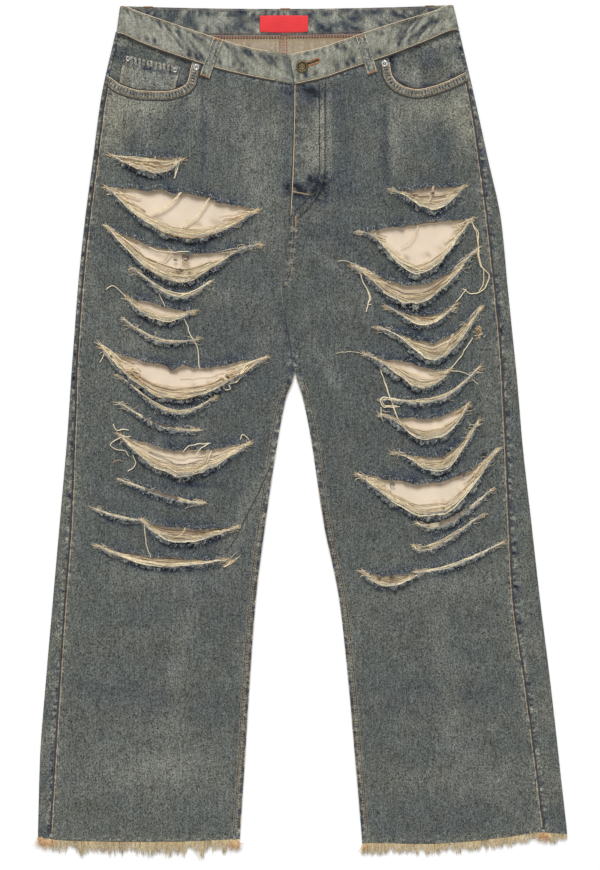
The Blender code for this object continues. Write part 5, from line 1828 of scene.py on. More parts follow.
def fibres(strands, leg, x, y, angle, reach, rise_from, rise_to, radius, tone, rng, bend=0.5, steps=2):
    """Short fibres from each place, which bend and go from rise_from to rise_to above the cloth."""
    t = np.linspace(0.0, 1.0, steps)
    turned_by = rng.uniform(-bend, bend, len(x))[:, None] * t
    px = x[:, None] + reach[:, None] * t * np.cos(angle[:, None] + turned_by)
    py = y[:, None] + reach[:, None] * t * np.sin(angle[:, None] + turned_by)
    pz = front_top(leg, x, y)[:, None] + mix(rise_from[:, None], rise_to[:, None], t)
    strands.add(np.stack([px, py, pz], axis=-1), radius, tone, taper=0.45)


def two_tones(rng, many, pale_share):
    """Tones of which some are pale yarn and the rest blue or grey."""
    return np.where(rng.random(many) < pale_share, rng.uniform(0.7, 1.0, many), rng.uniform(0.0, 0.48, many))


def edge_fuzz(strands, leg, rip, rng, sizes):
    """Short fibres at the upper edge of a rip, on its lip, and along its lower edge."""
    grown = lip_growth(rip, 0.65, 0.35)
    down = -math.pi / 2

    def along(step):
        many = int(rip["wide"] / step)
        share = rng.uniform(0.01, 0.99, many)
        x = mix(rip["x0"], rip["x1"], share)
        _, upper, lower = rip_edges(rip, x)
        return many, share, x, upper, lower

    many, share, x, upper, lower = along(0.00052)
    flat = np.full(many, 0.0005)
    fibres(
        strands, leg, x, upper + rng.uniform(-0.0004, 0.0058, many), down + rng.normal(0, 0.85, many),
        sizes.fuzz * rng.uniform(0.3, 0.9, many) * grown, flat, flat + rng.uniform(-0.0008, 0.0014, many),
        sizes.weft * rng.uniform(0.55, 0.95, many), two_tones(rng, many, 0.48), rng,
    )
    many, share, x, upper, lower = along(0.00038)
    off = rng.uniform(-0.10, 0.95, many) * sizes.ledge * grown * np.sin(math.pi * share) ** 0.4
    high = sizes.ledge_rise * grown * rng.uniform(0.75, 1.30, many)
    fibres(
        strands, leg, x, lower - off, down + rng.normal(0, 0.85, many),
        sizes.fuzz * rng.uniform(0.25, 0.95, many) * grown, high, high * rng.uniform(0.6, 1.2, many),
        sizes.weft * rng.uniform(0.5, 0.95, many), two_tones(rng, many, 0.44), rng,
    )
    many, share, x, upper, lower = along(0.0011)
    side = rng.choice([0.0, math.pi], many) + rng.normal(0, 0.5, many)
    high = sizes.ledge_rise * 0.8 * np.ones(many)
    fibres(
        strands, leg, x, lower + rng.uniform(-0.0012, 0.0014, many), side,
        sizes.fuzz * rng.uniform(0.6, 1.5, many), high, high + rng.uniform(-0.001, 0.0005, many),
        sizes.weft * 0.7, rng.uniform(0.62, 1.0, many), rng, 0.9, 3,
    )


def corner_frays(strands, leg, rip, rng, sizes):
    """The torn yarns that run together at the two ends of a rip, and a few that run out beyond."""
    many = int(24 * (1.0 if rip["deep"] > SLIT_DEPTH else 0.55))
    for x0, y0, way in ((rip["x0"], rip["y0"], 1.0), (rip["x1"], rip["y1"], -1.0)):
        inner = x0 + way * min(0.018, 0.2 * rip["wide"])
        _, upper, lower = rip_edges(rip, np.array([inner]))
        aim = np.array([inner, float(mix(upper, lower, 0.60)[0])])
        heading = math.atan2(0.40 * (y0 - aim[1]), x0 - aim[0])
        steep = math.atan2(y0 - aim[1], x0 - aim[0])
        for back, spread, reach, thick, bend in (
            (0.014, 0.16, (0.005, 0.010), 1.2, 0.25),
            (0.004, 0.45, (0.0015, 0.006), 0.75, 0.6),
        ):
            along = rng.uniform(0.0, back, many)
            x = x0 - along * math.cos(steep) + rng.normal(0, 0.0006, many)
            y = y0 - along * math.sin(steep) + rng.normal(0, 0.0013, many) * (0.6 + along / 0.012)
            low = rng.uniform(0.0003, 0.0015, many)
            tones = np.where(rng.random(many) < 0.12, 0.12, rng.uniform(0.66, 1.0, many))
            fibres(
                strands, leg, x, y, heading + rng.normal(0, spread, many), rng.uniform(*reach, many),
                low, low + rng.uniform(-0.0003, 0.0005, many), sizes.weft * thick, tones, rng, bend, 3,
            )


def frayed_ledges(leg, side, sizes):
    """The torn lower lips, rolled out so that they hang over the cloth below."""
    points, faces, fields, count = [], [], {"indigo_and_shade": [], "worn_and_highlight": [], "tint": []}, 0
    across = np.array([-0.12, 0.16, 0.42, 0.66, 0.86, 1.0])
    raised = np.array([-0.20, 0.62, 1.0, 1.02, 0.88, 0.70])
    for number, rip in enumerate(rips[leg]):
        grown = lip_growth(rip)
        share = np.linspace(0.02, 0.98, max(int(rip["wide"] / 0.0013), 8))
        x = mix(rip["x0"], rip["x1"], share)
        _, _, y = rip_edges(rip, x)
        path = np.stack([x, y], axis=1)
        fade = np.sin(math.pi * share) ** 0.45
        ragged = 0.60 + 0.50 * grain(x, 0 * y, 0.0046, 100 + number)
        ragged = ragged + 0.45 * grain(x, 0 * y, 0.0022, 130 + number)
        width = sizes.ledge * grown * fade * np.clip(ragged, 0.12, 1.05)
        width = width * (1.0 + 0.25 * grain(x, 0 * y, 0.03, 160))
        moved = np.stack([beside(path, -width * t) for t in across], axis=1)
        px, py = moved[..., 0], moved[..., 1]
        lift = sizes.ledge_rise * grown * fade[:, None] * raised * (0.95 + 0.5 * grain(px, py, 0.005, 190))
        pz = front_top(leg, px, py) + lift
        points.append(np.stack([px, py, pz], axis=-1).reshape(-1, 3))
        faces.append(grid_faces(*px.shape) + count)
        count += px.size
        salt = grain(px, py, 0.0019, 194)
        fields["indigo_and_shade"].append(np.clip(0.12 + 0.5 * grain(px, py, 0.006, 191) - 0.8 * salt, 0, 0.5).ravel())
        fields["worn_and_highlight"].append(np.clip(0.45 + 1.2 * salt + 0.4 * grain(px, py, 0.003, 192), 0, 1).ravel())
        fields["tint"].append(np.clip(0.9 - 2.4 * across + 0 * px, 0, 1).ravel())
    points = np.concatenate(points)
    faces = face_up(points, np.concatenate(faces))
    fields = {key: np.concatenate(values) for key, values in fields.items()}
    looks = [denim_look("denim_fray", 0.9, 1.25)] * 2
    put_on(shell("torn_lips_" + side, points, faces, 0.0002, 0.0003, looks, fields), "denim")


# Loose yarns that hang where they fell: the leg, the tone, how thick they are, and points (x, y).
LOOSE_YARNS = (
    ("r", 0.95, 1.2, ((-0.1518, 0.1454), (-0.1403, 0.1175), (-0.1327, 0.1022), (-0.1314, 0.0781))),
    ("r", 0.90, 0.8, ((-0.2508, 0.0997), (-0.2540, 0.0920), (-0.2572, 0.0857))),
    ("r", 0.95, 1.2, ((-0.2407, 0.0083), (-0.2388, 0.0032), (-0.2337, 0.0006), (-0.2273, 0.0019),
                      (-0.2204, 0.0006))),
    ("r", 0.90, 1.0, ((-0.2178, -0.0070), (-0.2318, -0.0095), (-0.2432, -0.0184), (-0.2369, -0.0235),
                      (-0.2254, -0.0248), (-0.2204, -0.0324))),
    ("r", 0.92, 1.0, ((-0.2153, -0.0311), (-0.2115, -0.0413), (-0.2216, -0.0514))),
    ("r", 0.30, 0.8, ((-0.2407, -0.0400), (-0.2343, -0.0375), (-0.2280, -0.0390))),
    ("r", 0.88, 1.0, ((-0.2013, -0.1162), (-0.1975, -0.1480), (-0.1924, -0.1607))),
    ("r", 0.80, 1.3, ((-0.0743, 0.0781), (-0.0845, 0.0705), (-0.0946, 0.0743), (-0.0997, 0.0667),
                      (-0.0933, 0.0591), (-0.0819, 0.0641), (-0.0718, 0.0743))),
    ("r", 0.90, 2.0, ((-0.1100, 0.0640), (-0.1036, 0.0686), (-0.0949, 0.0620), (-0.0922, 0.0544))),
    ("r", 0.80, 1.8, ((-0.0990, 0.0590), (-0.0922, 0.0600), (-0.0839, 0.0620), (-0.0752, 0.0752),
                      (-0.0690, 0.0800))),
    ("r", 0.92, 1.8, ((-0.0883, 0.0697), (-0.0800, 0.0720), (-0.0730, 0.0817), (-0.0631, 0.0883))),
    ("r", 0.75, 1.4, ((-0.1020, 0.0560), (-0.0975, 0.0515), (-0.0915, 0.0535), (-0.0930, 0.0585))),
    ("r", 0.55, 1.3, ((-0.2360, 0.0800), (-0.2290, 0.0740), (-0.2200, 0.0760), (-0.2120, 0.0700),
                      (-0.2040, 0.0640))),
    ("r", 0.85, 1.3, ((-0.2300, 0.0860), (-0.2240, 0.0780), (-0.2150, 0.0800), (-0.2070, 0.0730),
                      (-0.1990, 0.0690))),
    ("r", 0.40, 1.0, ((-0.2230, 0.0690), (-0.2160, 0.0640), (-0.2080, 0.0570), (-0.2010, 0.0600))),
    ("r", 0.85, 1.5, ((-0.1530, 0.3016), (-0.1650, 0.2890), (-0.1790, 0.2800), (-0.1937, 0.2737))),
    ("r", 0.80, 1.1, ((-0.1550, 0.3010), (-0.1640, 0.2920), (-0.1770, 0.2830), (-0.1900, 0.2770))),
    ("r", 0.85, 1.5, ((-0.1187, 0.2953), (-0.1270, 0.2800), (-0.1380, 0.2680), (-0.1492, 0.2572))),
    ("r", 0.78, 1.1, ((-0.1200, 0.2940), (-0.1300, 0.2770), (-0.1400, 0.2670), (-0.1520, 0.2590))),
    ("l", 0.80, 1.5, ((0.2140, 0.2648), (0.2229, 0.2470), (0.2229, 0.2242), (0.2254, 0.2089),
                      (0.2369, 0.1962), (0.2343, 0.1861), (0.2242, 0.1759), (0.2140, 0.1734),
                      (0.2038, 0.1797))),
    ("l", 0.75, 1.2, ((0.2150, 0.2640), (0.2215, 0.2450), (0.2240, 0.2240), (0.2268, 0.2085),
                      (0.2300, 0.1980), (0.2290, 0.1860), (0.2235, 0.1775))),
    ("l", 0.92, 1.3, ((0.0705, 0.2038), (0.0768, 0.1886), (0.0845, 0.1670), (0.0807, 0.1505))),
    ("l", 0.82, 1.3, ((0.0720, 0.2030), (0.0775, 0.1870), (0.0860, 0.1665), (0.0825, 0.1590),
                      (0.0870, 0.1600))),
    ("l", 0.95, 0.9, ((0.1391, 0.1657), (0.1420, 0.1590), (0.1454, 0.1505))),
    ("l", 0.95, 0.9, ((0.1420, 0.1590), (0.1405, 0.1540), (0.1400, 0.1510))),
    ("l", 0.66, 0.9, ((0.1467, 0.2610), (0.1441, 0.2521), (0.1340, 0.2381), (0.1238, 0.2331))),
    ("l", 0.90, 0.9, ((0.2153, 0.1175), (0.2000, 0.0933), (0.1835, 0.0743))),
    ("l", 0.85, 0.9, ((0.1861, 0.0768), (0.2026, 0.0743), (0.2229, 0.0591))),
    ("l", 0.80, 1.2, ((0.0984, 0.0781), (0.1086, 0.0489), (0.1149, 0.0298), (0.1251, 0.0057))),
    ("l", 0.86, 1.0, ((0.0995, 0.0770), (0.1075, 0.0500), (0.1160, 0.0290), (0.1240, 0.0080))),
    ("l", 0.95, 0.8, ((0.2080, 0.1790), (0.2010, 0.1700), (0.1945, 0.1620))),
    ("l", 0.92, 1.4, ((0.1238, 0.0387), (0.1048, 0.0425), (0.0984, 0.0375), (0.1035, 0.0298),
                      (0.1238, 0.0311))),
    ("l", 0.84, 1.2, ((0.1230, 0.0372), (0.1060, 0.0400), (0.1010, 0.0365), (0.1050, 0.0315),
                      (0.1200, 0.0322))),
    ("l", 1.00, 1.2, ((0.1048, 0.2267), (0.1302, 0.2115), (0.1556, 0.2013))),
    ("l", 0.85, 1.0, ((0.0990, 0.0300), (0.1000, 0.0180), (0.1020, 0.0110))),
    ("l", 0.90, 0.5, ((0.0440, 0.2150), (0.0540, 0.2160), (0.0641, 0.2120), (0.0740, 0.2080))),
    ("l", 0.80, 0.5, ((0.0430, 0.0980), (0.0560, 0.1000), (0.0700, 0.0990), (0.0800, 0.0960))),
    ("l", 0.95, 1.1, ((0.0960, 0.1320), (0.1050, 0.1230), (0.1180, 0.1170), (0.1290, 0.1150))),
    ("r", 1.00, 1.2, ((-0.1810, 0.1800), (-0.1594, 0.1705), (-0.1391, 0.1765), (-0.1162, 0.1899))),
    ("r", 1.00, 1.1, ((-0.2077, 0.2724), (-0.1899, 0.2591), (-0.1772, 0.2483), (-0.1600, 0.2430))),
    ("r", 0.92, 1.2, ((-0.1950, 0.2330), (-0.1800, 0.2270), (-0.1600, 0.2262), (-0.1450, 0.2270))),
    ("r", 0.85, 1.1, ((-0.2496, 0.1784), (-0.2419, 0.1835), (-0.2318, 0.1772), (-0.2216, 0.1670))),
    ("r", 0.92, 1.0, ((-0.1835, 0.1745), (-0.1790, 0.1655), (-0.1742, 0.1575))),
    ("r", 0.88, 1.1, ((-0.2480, 0.2990), (-0.2350, 0.3010), (-0.2200, 0.2990), (-0.2050, 0.2985))),
    ("r", 0.90, 1.1, ((-0.2590, 0.1120), (-0.2500, 0.1000), (-0.2430, 0.0870), (-0.2300, 0.0740))),
    ("r", 0.90, 1.7, ((-0.1560, 0.3430), (-0.1585, 0.3340), (-0.1605, 0.3260), (-0.1622, 0.3190))),
    ("r", 0.80, 1.4, ((-0.1600, 0.3440), (-0.1610, 0.3360), (-0.1618, 0.3290), (-0.1612, 0.3230))),
    ("r", 0.95, 1.3, ((-0.1640, 0.3380), (-0.1585, 0.3400), (-0.1545, 0.3440))),
    ("r", 0.95, 1.1, ((-0.1518, -0.0273), (-0.1440, -0.0200), (-0.1320, -0.0172), (-0.1168, -0.0159))),
    ("r", 0.92, 1.1, ((-0.1360, -0.0310), (-0.1290, -0.0230), (-0.1190, -0.0166))),
    ("r", 0.90, 1.0, ((-0.1213, -0.0406), (-0.1190, -0.0320), (-0.1158, -0.0254))),
    ("r", 0.95, 1.2, ((-0.0798, -0.0120), (-0.0770, -0.0050), (-0.0735, -0.0060), (-0.0688, -0.0120))),
)

# Tangles of yarn: the leg, the tone, the middle, the size and how many turns. Those with a tone near 0 are
# dark heaps of painted shade that stand for dark holes among the frays.
TANGLES_AND_SHADE = (
    ("l", 0.74, (0.2225, 0.1290), 0.0036, 14),
    ("l", 0.80, (0.2252, 0.1225), 0.0030, 12),
    ("l", 0.86, (0.2190, 0.1200), 0.0030, 8),
    ("l", 0.80, (0.1590, 0.2010), 0.0030, 10),
    ("r", 0.82, (-0.1480, 0.2130), 0.0045, 16),
    ("r", 0.80, (-0.0870, 0.0690), 0.0050, 18),
    ("r", 0.84, (-0.2130, 0.0720), 0.0055, 20),
    ("r", 0.84, (-0.2060, 0.0600), 0.0040, 14),
    ("r", -0.10, (-0.1620, 0.2158), 0.0018, 6),
    ("r", 0.10, (-0.1486, 0.2197), 0.0034, 9),
    ("r", -0.10, (-0.1560, 0.2026), 0.0026, 7),
    ("r", 0.0, (-0.1440, 0.2010), 0.0022, 5),
    ("r", 0.05, (-0.2127, 0.0715), 0.0030, 6),
    ("r", -0.10, (-0.2090, 0.0573), 0.0026, 6),
    ("r", 0.0, (-0.2430, 0.0930), 0.0018, 5),
    ("r", 0.0, (-0.0940, 0.0690), 0.0022, 5),
    ("l", 0.0, (0.1095, -0.0590), 0.0020, 5),
    ("l", -0.10, (0.1149, -0.0690), 0.0030, 6),
    ("l", 0.05, (0.2035, -0.0560), 0.0022, 6),
    ("l", 0.0, (0.1784, -0.0985), 0.0018, 4),
    ("l", 0.0, (0.0975, -0.1860), 0.0022, 6),
    ("l", -0.10, (0.1140, -0.1860), 0.0024, 6),
    ("l", 0.0, (0.1650, 0.3010), 0.0022, 6),
    ("l", 0.10, (0.2290, -0.0300), 0.0026, 6),
)

# Tufts at the corners of rips: the leg, the corner, where the longest yarns end, and the width there.
TUFTS = (
    ("l", (0.2158, 0.2686), (0.1920, 0.2500), 0.0100),
    ("l", (0.2216, 0.2287), (0.1905, 0.2035), 0.0080),
    ("l", (0.2264, 0.1572), (0.2022, 0.1225), 0.0110),
    ("l", (0.0660, 0.2093), (0.1010, 0.1920), 0.0060),
    ("l", (0.2454, -0.0248), (0.2119, -0.0641), 0.0076),
    ("l", (0.2229, 0.0114), (0.1988, -0.0280), 0.0066),
    ("l", (0.1128, 0.3040), (0.1400, 0.2980), 0.0050),
    ("l", (0.0780, 0.2500), (0.1030, 0.2400), 0.0070),
    ("r", (-0.0533, 0.2345), (-0.1020, 0.2245), 0.0060),
    ("r", (-0.2478, 0.2580), (-0.2030, 0.2190), 0.0080),
    ("r", (-0.0580, 0.2770), (-0.1125, 0.2530), 0.0100),
    ("r", (-0.2449, 0.3060), (-0.2150, 0.2890), 0.0060),
    ("r", (-0.2555, 0.1085), (-0.2263, 0.0830), 0.0070),
    ("r", (-0.0560, 0.0905), (-0.1020, 0.0660), 0.0070),
    ("r", (-0.2400, 0.3480), (-0.1700, 0.3400), 0.0060),
    ("r", (-0.1000, -0.1730), (-0.0790, -0.1560), 0.0080),
    ("r", (-0.1260, -0.0905), (-0.1490, -0.0955), 0.0110),
)


def tuft(strands, leg, corner, end, wide, radius, rng):
    """Yarns that fan out from a corner of a rip along its edge."""
    many = 15
    t = np.linspace(0, 1, 10)[None, :]
    run = np.subtract(end, corner)
    across = np.array([-run[1], run[0]]) / np.hypot(*run)
    far = rng.uniform(0.55, 1.1, (many, 1))
    wave = np.sin(2 * math.pi * t * rng.uniform(0.6, 1.8, (many, 1)) + rng.uniform(0, ANY_PHASE, (many, 1)))
    opened = 0.2 + 0.8 * np.sin(0.5 * math.pi * t)
    off = rng.uniform(-0.5, 0.5, (many, 1)) * wide * opened + 0.0005 * wave
    x, y = (corner[k] + run[k] * far * t + across[k] * off for k in (0, 1))
    z = front_top(leg, x, y) + 0.0004 + rng.uniform(0, 0.0009, (many, 1)) - 0.0014 * t
    tones = np.where(rng.random(many) < 0.15, rng.uniform(0.1, 0.5, many), rng.uniform(0.80, 1.0, many))
    strands.add(np.stack([x, y, z], axis=-1), radius * rng.uniform(0.9, 1.4, many), tones)


def tangle(strands, leg, tone, middle, size, turns, radius, rng):
    """Short bent yarns heaped up on the cloth."""
    t = np.linspace(0, 1, 12)
    paths = []
    for _ in range(turns):
        centre = rng.normal(0, size * 0.4, 2)
        start, sweep = rng.uniform(0, ANY_PHASE), rng.uniform(0.9, 3.4)
        reach = size * rng.uniform(0.3, 1.3)
        x = middle[0] + centre[0] + reach * np.cos(start + sweep * t)
        y = middle[1] + centre[1] + 0.7 * reach * np.sin(start + sweep * t)
        z = front_top(leg, x, y) + rng.uniform(0.0004, 0.0024) + 0.0004 * np.sin(7 * t)
        paths.append(np.stack([x, y, z], axis=-1))
    radii = radius * rng.uniform(0.8, 1.4, turns)
    strands.add(np.array(paths), radii, np.clip(tone - 0.08 + rng.normal(0, 0.20, turns), 0, 1))


def loose_yarns(strands, leg, rng, sizes):
    """The yarns, tangles and tufts of one leg that have places of their own."""
    for side, tone, thick, points in LOOSE_YARNS:
        if side != leg:
            continue
        path = along_path(points, 0.0012)
        x, y = path.T
        x = x + 0.0008 * grain(x, y, 0.006, 201)
        y = y + 0.0008 * grain(x, y, 0.006, 202)
        t = np.linspace(0, 1, len(x))
        z = front_top(leg, x, y) + 0.0007 + 0.0012 * np.sin(math.pi * t)
        path = np.stack([x, y, z], axis=-1)
        pair = np.stack([path, path + (0.0003, -0.0002, 0.0003)])
        strands.add(pair, sizes.weft * thick * 1.2, [tone, min(tone + 0.08, 1.0)], sides=4)
    for side, tone, middle, size, turns in TANGLES_AND_SHADE:
        if side == leg:
            # The dark ones, a little thicker, are painted shade.
            thick = sizes.weft * (1.15 if tone < 0.2 else 1.0)
            tangle(strands, leg, tone, middle, size, turns, thick, rng)
    for side, corner, end, wide in TUFTS:
        if side == leg:
            tuft(strands, leg, corner, end, wide, sizes.weft, rng)


def torn_pieces():
    """The lips, the yarns and the fuzz of each leg's rips."""
    sizes = bpy.context.scene.jeans_sizes
    for leg, side, _ in SIDES:
        frayed_ledges(leg, side, sizes)
        rng = np.random.default_rng(11 if leg == "r" else 12)
        yarns, fuzz = Strands(), Strands()
        for rip in rips[leg]:
            weft(yarns, leg, rip, rng, sizes)
            curls(yarns, leg, rip, rng, sizes)
            edge_fuzz(fuzz, leg, rip, rng, sizes)
            corner_frays(yarns, leg, rip, rng, sizes)
        loose_yarns(yarns, leg, rng, sizes)
        put_on(yarns.build("weft_" + side, fray_yarn()), "denim")
        put_on(fuzz.build("fuzz_" + side, fuzz_yarn()), "denim")


# ------------------------------------------------------------------ hems
def fringes():
    """Yarns that hang from the cut hems, in a layer from the front and one from the back."""
    sizes = bpy.context.scene.jeans_sizes
    hues = (shade(124, 110, 82), shade(214, 190, 144), shade(248, 230, 186))
    for leg, side, sign in SIDES:
        rng = np.random.default_rng(21 if leg == "r" else 22)
        strands = Strands()
        inner = float(section("inner_" + leg, HEM_NOMINAL_Y)) + sign * 0.0006
        outer = float(section("outer_" + leg, HEM_NOMINAL_Y)) - sign * 0.0010
        for in_front, tone, layers in ((True, 0.74, 3.4), (False, 0.52, 1.5)):
            many = int(abs(outer - inner) / sizes.fringe_step * layers)
            x = rng.uniform(min(inner, outer), max(inner, outer), many)
            cut, reach = hems[leg]("cut", x), hems[leg]("reach", x)
            clump = 0.0020 * grain(x, 0 * x, 0.0050, 211)
            full = 0.60 + 0.20 * grain(x, 0 * x, 0.014, 212) + 0.22 * grain(x, 0 * x, 0.0035, 213)
            run = (cut - reach) * full * rng.uniform(0.55, 1.10, many)
            run = np.where(rng.random(many) < 0.04, run * 1.25, run)
            t = np.linspace(0, 1, 5)
            sway = rng.normal(0, 0.0016, many)[:, None] * t**1.5 + clump[:, None] * t**2
            turns = rng.uniform(2, 7, many)[:, None] * t
            curl = 0.0006 * np.sin(turns + rng.uniform(0, ANY_PHASE, many)[:, None])
            px = x[:, None] + sway + curl
            start = cut + rng.uniform(-0.0003, 0.0009, many)
            py = start[:, None] - run[:, None] * t - 0.002 * t
            level = (height("fold", cut) - 0.0002 if in_front else np.full_like(x, CLOTH / 2))[:, None]
            above = 0.0003 if in_front else 0.0
            pz = level + above * (1 - t) - (level - 0.0012) * 0.75 * t**1.3
            pz = pz + rng.uniform(0, 0.0012, many)[:, None] * t
            tones = np.clip(tone + 0.2 * grain(x, 0 * x, 0.008, 214) + rng.normal(0, 0.14, many), 0, 1)
            tones = np.clip(tones[:, None] - 0.45 * (1 - t) ** 2 + 0.08, 0, 1)
            paths = np.stack([px, py, np.maximum(pz, 0.0004)], axis=-1)
            strands.add(paths, sizes.weft * 0.95, tones, taper=0.5)
        piece = strands.build("fringe_" + side, yarn_look("hem_yarn", *hues))
        put_on(piece, "fringe_yarn", "hem_fringe_" + side)


# Where seam thread comes loose at a hem: the middle, the width, and how many yarns. None hangs lower than
# the lowest place.
LOWEST_Y = -0.5410
HEM_TANGLES = (
    ((-0.3240, -0.5190), 0.0100, 110), ((-0.3330, -0.5150), 0.0050, 40), ((-0.0862, -0.5210), 0.0090, 110),
    ((0.3065, -0.5100), 0.0075, 80), ((0.0780, -0.5245), 0.0040, 30),
)


def hem_tangles():
    """The seam thread that comes loose at the corners of the hems."""
    sizes = bpy.context.scene.jeans_sizes
    rng = np.random.default_rng(31)
    strands = Strands()
    steps = 6
    t = np.linspace(0, 1, steps)
    for middle, wide, many in HEM_TANGLES:
        x = middle[0] + rng.uniform(-0.5, 0.5, many) * wide
        heading = rng.normal(0, 0.45, many)[:, None] + rng.normal(0, 0.7, many)[:, None] * t
        step = rng.uniform(0.35, 1.0, many)[:, None] * 0.0145 / steps * np.ones(steps)
        px = x[:, None] + np.cumsum(step * np.sin(heading), axis=1)
        start = middle[1] + rng.uniform(-0.002, 0.001, many)[:, None]
        py = start - np.cumsum(step * np.cos(heading), axis=1)
        pz = 0.0036 - 0.0016 * t + rng.uniform(0, 0.0016, many)[:, None]
        paths = np.stack([px, np.maximum(py, LOWEST_Y), pz], axis=-1)
        strands.add(paths, sizes.weft * 0.9, np.clip(rng.normal(0.55, 0.25, many), 0, 1), taper=0.6)
    look = yarn_look("rust_yarn", shade(200, 146, 96), shade(238, 190, 134), shade(250, 228, 186))
    put_on(strands.build("hem_tangles", look), "fringe_yarn")


# ------------------------------------------------------------------ stitching
# The two rows of the fly, from the waist down, and the seam below it.
FLY_STITCHES = (
    ((0.0286, 0.4401), (0.0286, 0.3308), (0.0235, 0.3080), (0.0121, 0.2877), (-0.0070, 0.2686)),
    ((0.0216, 0.4388), (0.0216, 0.3334), (0.0171, 0.3131), (0.0057, 0.2940), (-0.0108, 0.2775)),
)
CROTCH = ((-0.0146, 0.2711), (-0.0146, 0.2521), (-0.0171, 0.2216), (-0.0197, 0.2013), (-0.0262, 0.1830))
# How the rows on the outside of the back are stitched.
BACK_ROW = {"tone": 0.85, "up": -1.0, "scale": 1.2}


def on_cloth(leg, rise=0.0):
    """The surface at the rise above a front."""
    return lambda x, y: front_top(leg, x, y) + rise


def waved(surface, high, size, seed):
    """A surface with soft noise on it."""
    return lambda x, y: surface(x, y) + high * grain(x, y, size, seed)


def seam_path(leg, edge, top, foot, offset, steps=60):
    """A path beside one of a leg's edges, from y at the top to y at the foot."""
    y = np.linspace(top, foot, steps)
    x = section(edge + "_" + leg, y) + offset
    return np.stack([x, hem_line(leg, x, y)], axis=1)


def bar_tack(strands, start, end, wide, level, tone):
    """A short dense zigzag from start to end, wide across."""
    spacing = 0.0009
    start, end = np.array(start), np.array(end)
    run = np.linalg.norm(end - start)
    along = (end - start) / run
    across = np.array([-along[1], along[0]]) * wide / 2
    centres = start + along * np.arange(0, run, spacing)[:, None]
    t = np.array([-1.0, -0.4, 0.4, 1.0])
    flat = centres[:, None] + across * t[:, None] + along * spacing * 0.4 * t[:, None]
    z = level(flat[..., 0], flat[..., 1]) + np.array([-0.0001, 0.0004, 0.0004, -0.0001])
    tones = tone + 0.12 * grain(flat[:, 0, 0], flat[:, 0, 1], 0.001, 221)
    strands.add(np.concatenate([flat, z[..., None]], axis=-1), 0.00038, tones, sides=4)


def band_seams(strands, inner):
    """Both rows of the waistband, on its outside in front and on its inside behind."""
    for v in (STITCH_INSET / BAND_DEPTH, 1 - STITCH_INSET / BAND_DEPTH):
        line = band_line(v)
        front = line[:, 2] > 0.0040
        behind = line[:, 2] < BAND_BACK_Z + 0.0001
        half = np.argmax(behind)
        right, left = line[:half][front[:half]], line[half:][front[half:]]
        for part in (right[right[:, 0] < -0.0120], left[left[:, 0] > -0.0165]):
            order = np.argsort(part[:, 0])
            levels = part[order]
            top = lambda x, y, rows=levels: np.interp(x, rows[:, 0], rows[:, 2]) + BAND_WALL / 2 + 0.0001
            stitch(strands, part[:, :2], top, 0.95)
        back = line[behind][:, :2]
        over, under = BAND_BACK_Z + BAND_WALL / 2, BAND_BACK_Z - BAND_WALL / 2
        stitch(inner if v > 0.5 else strands, back, flat_at(over), 0.35 if v > 0.5 else 0.8)
        stitch(strands, back, flat_at(under), 0.8, up=-1.0)


# The rows beside an inseam: where they start in y, how far from the inner edge, the tone, and the
# thickness and the dash of their stitches.
INSEAM_ROWS = (
    (0.060, 0.0072, 0.86, 1.0, 1.0),
    (0.060, 0.0096, 0.86, 1.0, 1.0),
    (0.060, 0.0084, 0.0, 1.5, 0.5),
    (-0.100, 0.0050, 0.88, 2.2, 0.42),
    (-0.100, 0.0020, 0.0, 1.6, 0.5),
)


def front_seams(strands):
    """The rows on the fronts: at the mouths, the inseams, the fly and the crotch."""
    for leg, side, sign in SIDES:
        mouth = mouth_part(leg, 0.002, 0.0, 0.002)
        for off in (0.0022, 0.0080):
            stitch(strands, beside(mouth, sign * off), on_cloth(leg, 0.0011), 0.72, thick=1.5)
        for start, off, tone, thick, dash in INSEAM_ROWS:
            path = seam_path(leg, "inner", start, SEAM_FOOT_Y, sign * off)
            stitch(strands, path, on_cloth(leg), tone, thick=thick, dash=dash)
    top = on_cloth("l")
    for path in FLY_STITCHES:
        stitch(strands, path, on_cloth("l", 0.0008), -0.1, thick=2.9, dash=0.62)
    crotch = along_path(CROTCH, 0.002)
    for off in (0.0022, 0.0056):
        stitch(strands, beside(crotch, off), top, 0.80, thick=1.3)
    bar_tack(strands, (-0.0125, 0.3030), (0.0110, 0.2985), 0.0014, top, 0.97)
    bar_tack(strands, (-0.0085, 0.2690), (-0.0085, 0.2600), 0.0022, top, 0.7)


# Painted shadow lines in sharp creases: the radius of the line, and its points.
CREASE_SHADOWS = (
    (0.00080, ((-0.0406, -0.0451), (-0.0560, -0.0790), (-0.0743, -0.1149), (-0.0830, -0.1330),
               (-0.0972, -0.1556))),
    (0.00070, ((-0.0235, 0.1530), (-0.0184, 0.1238), (-0.0121, 0.0845), (-0.0105, 0.0700))),
)


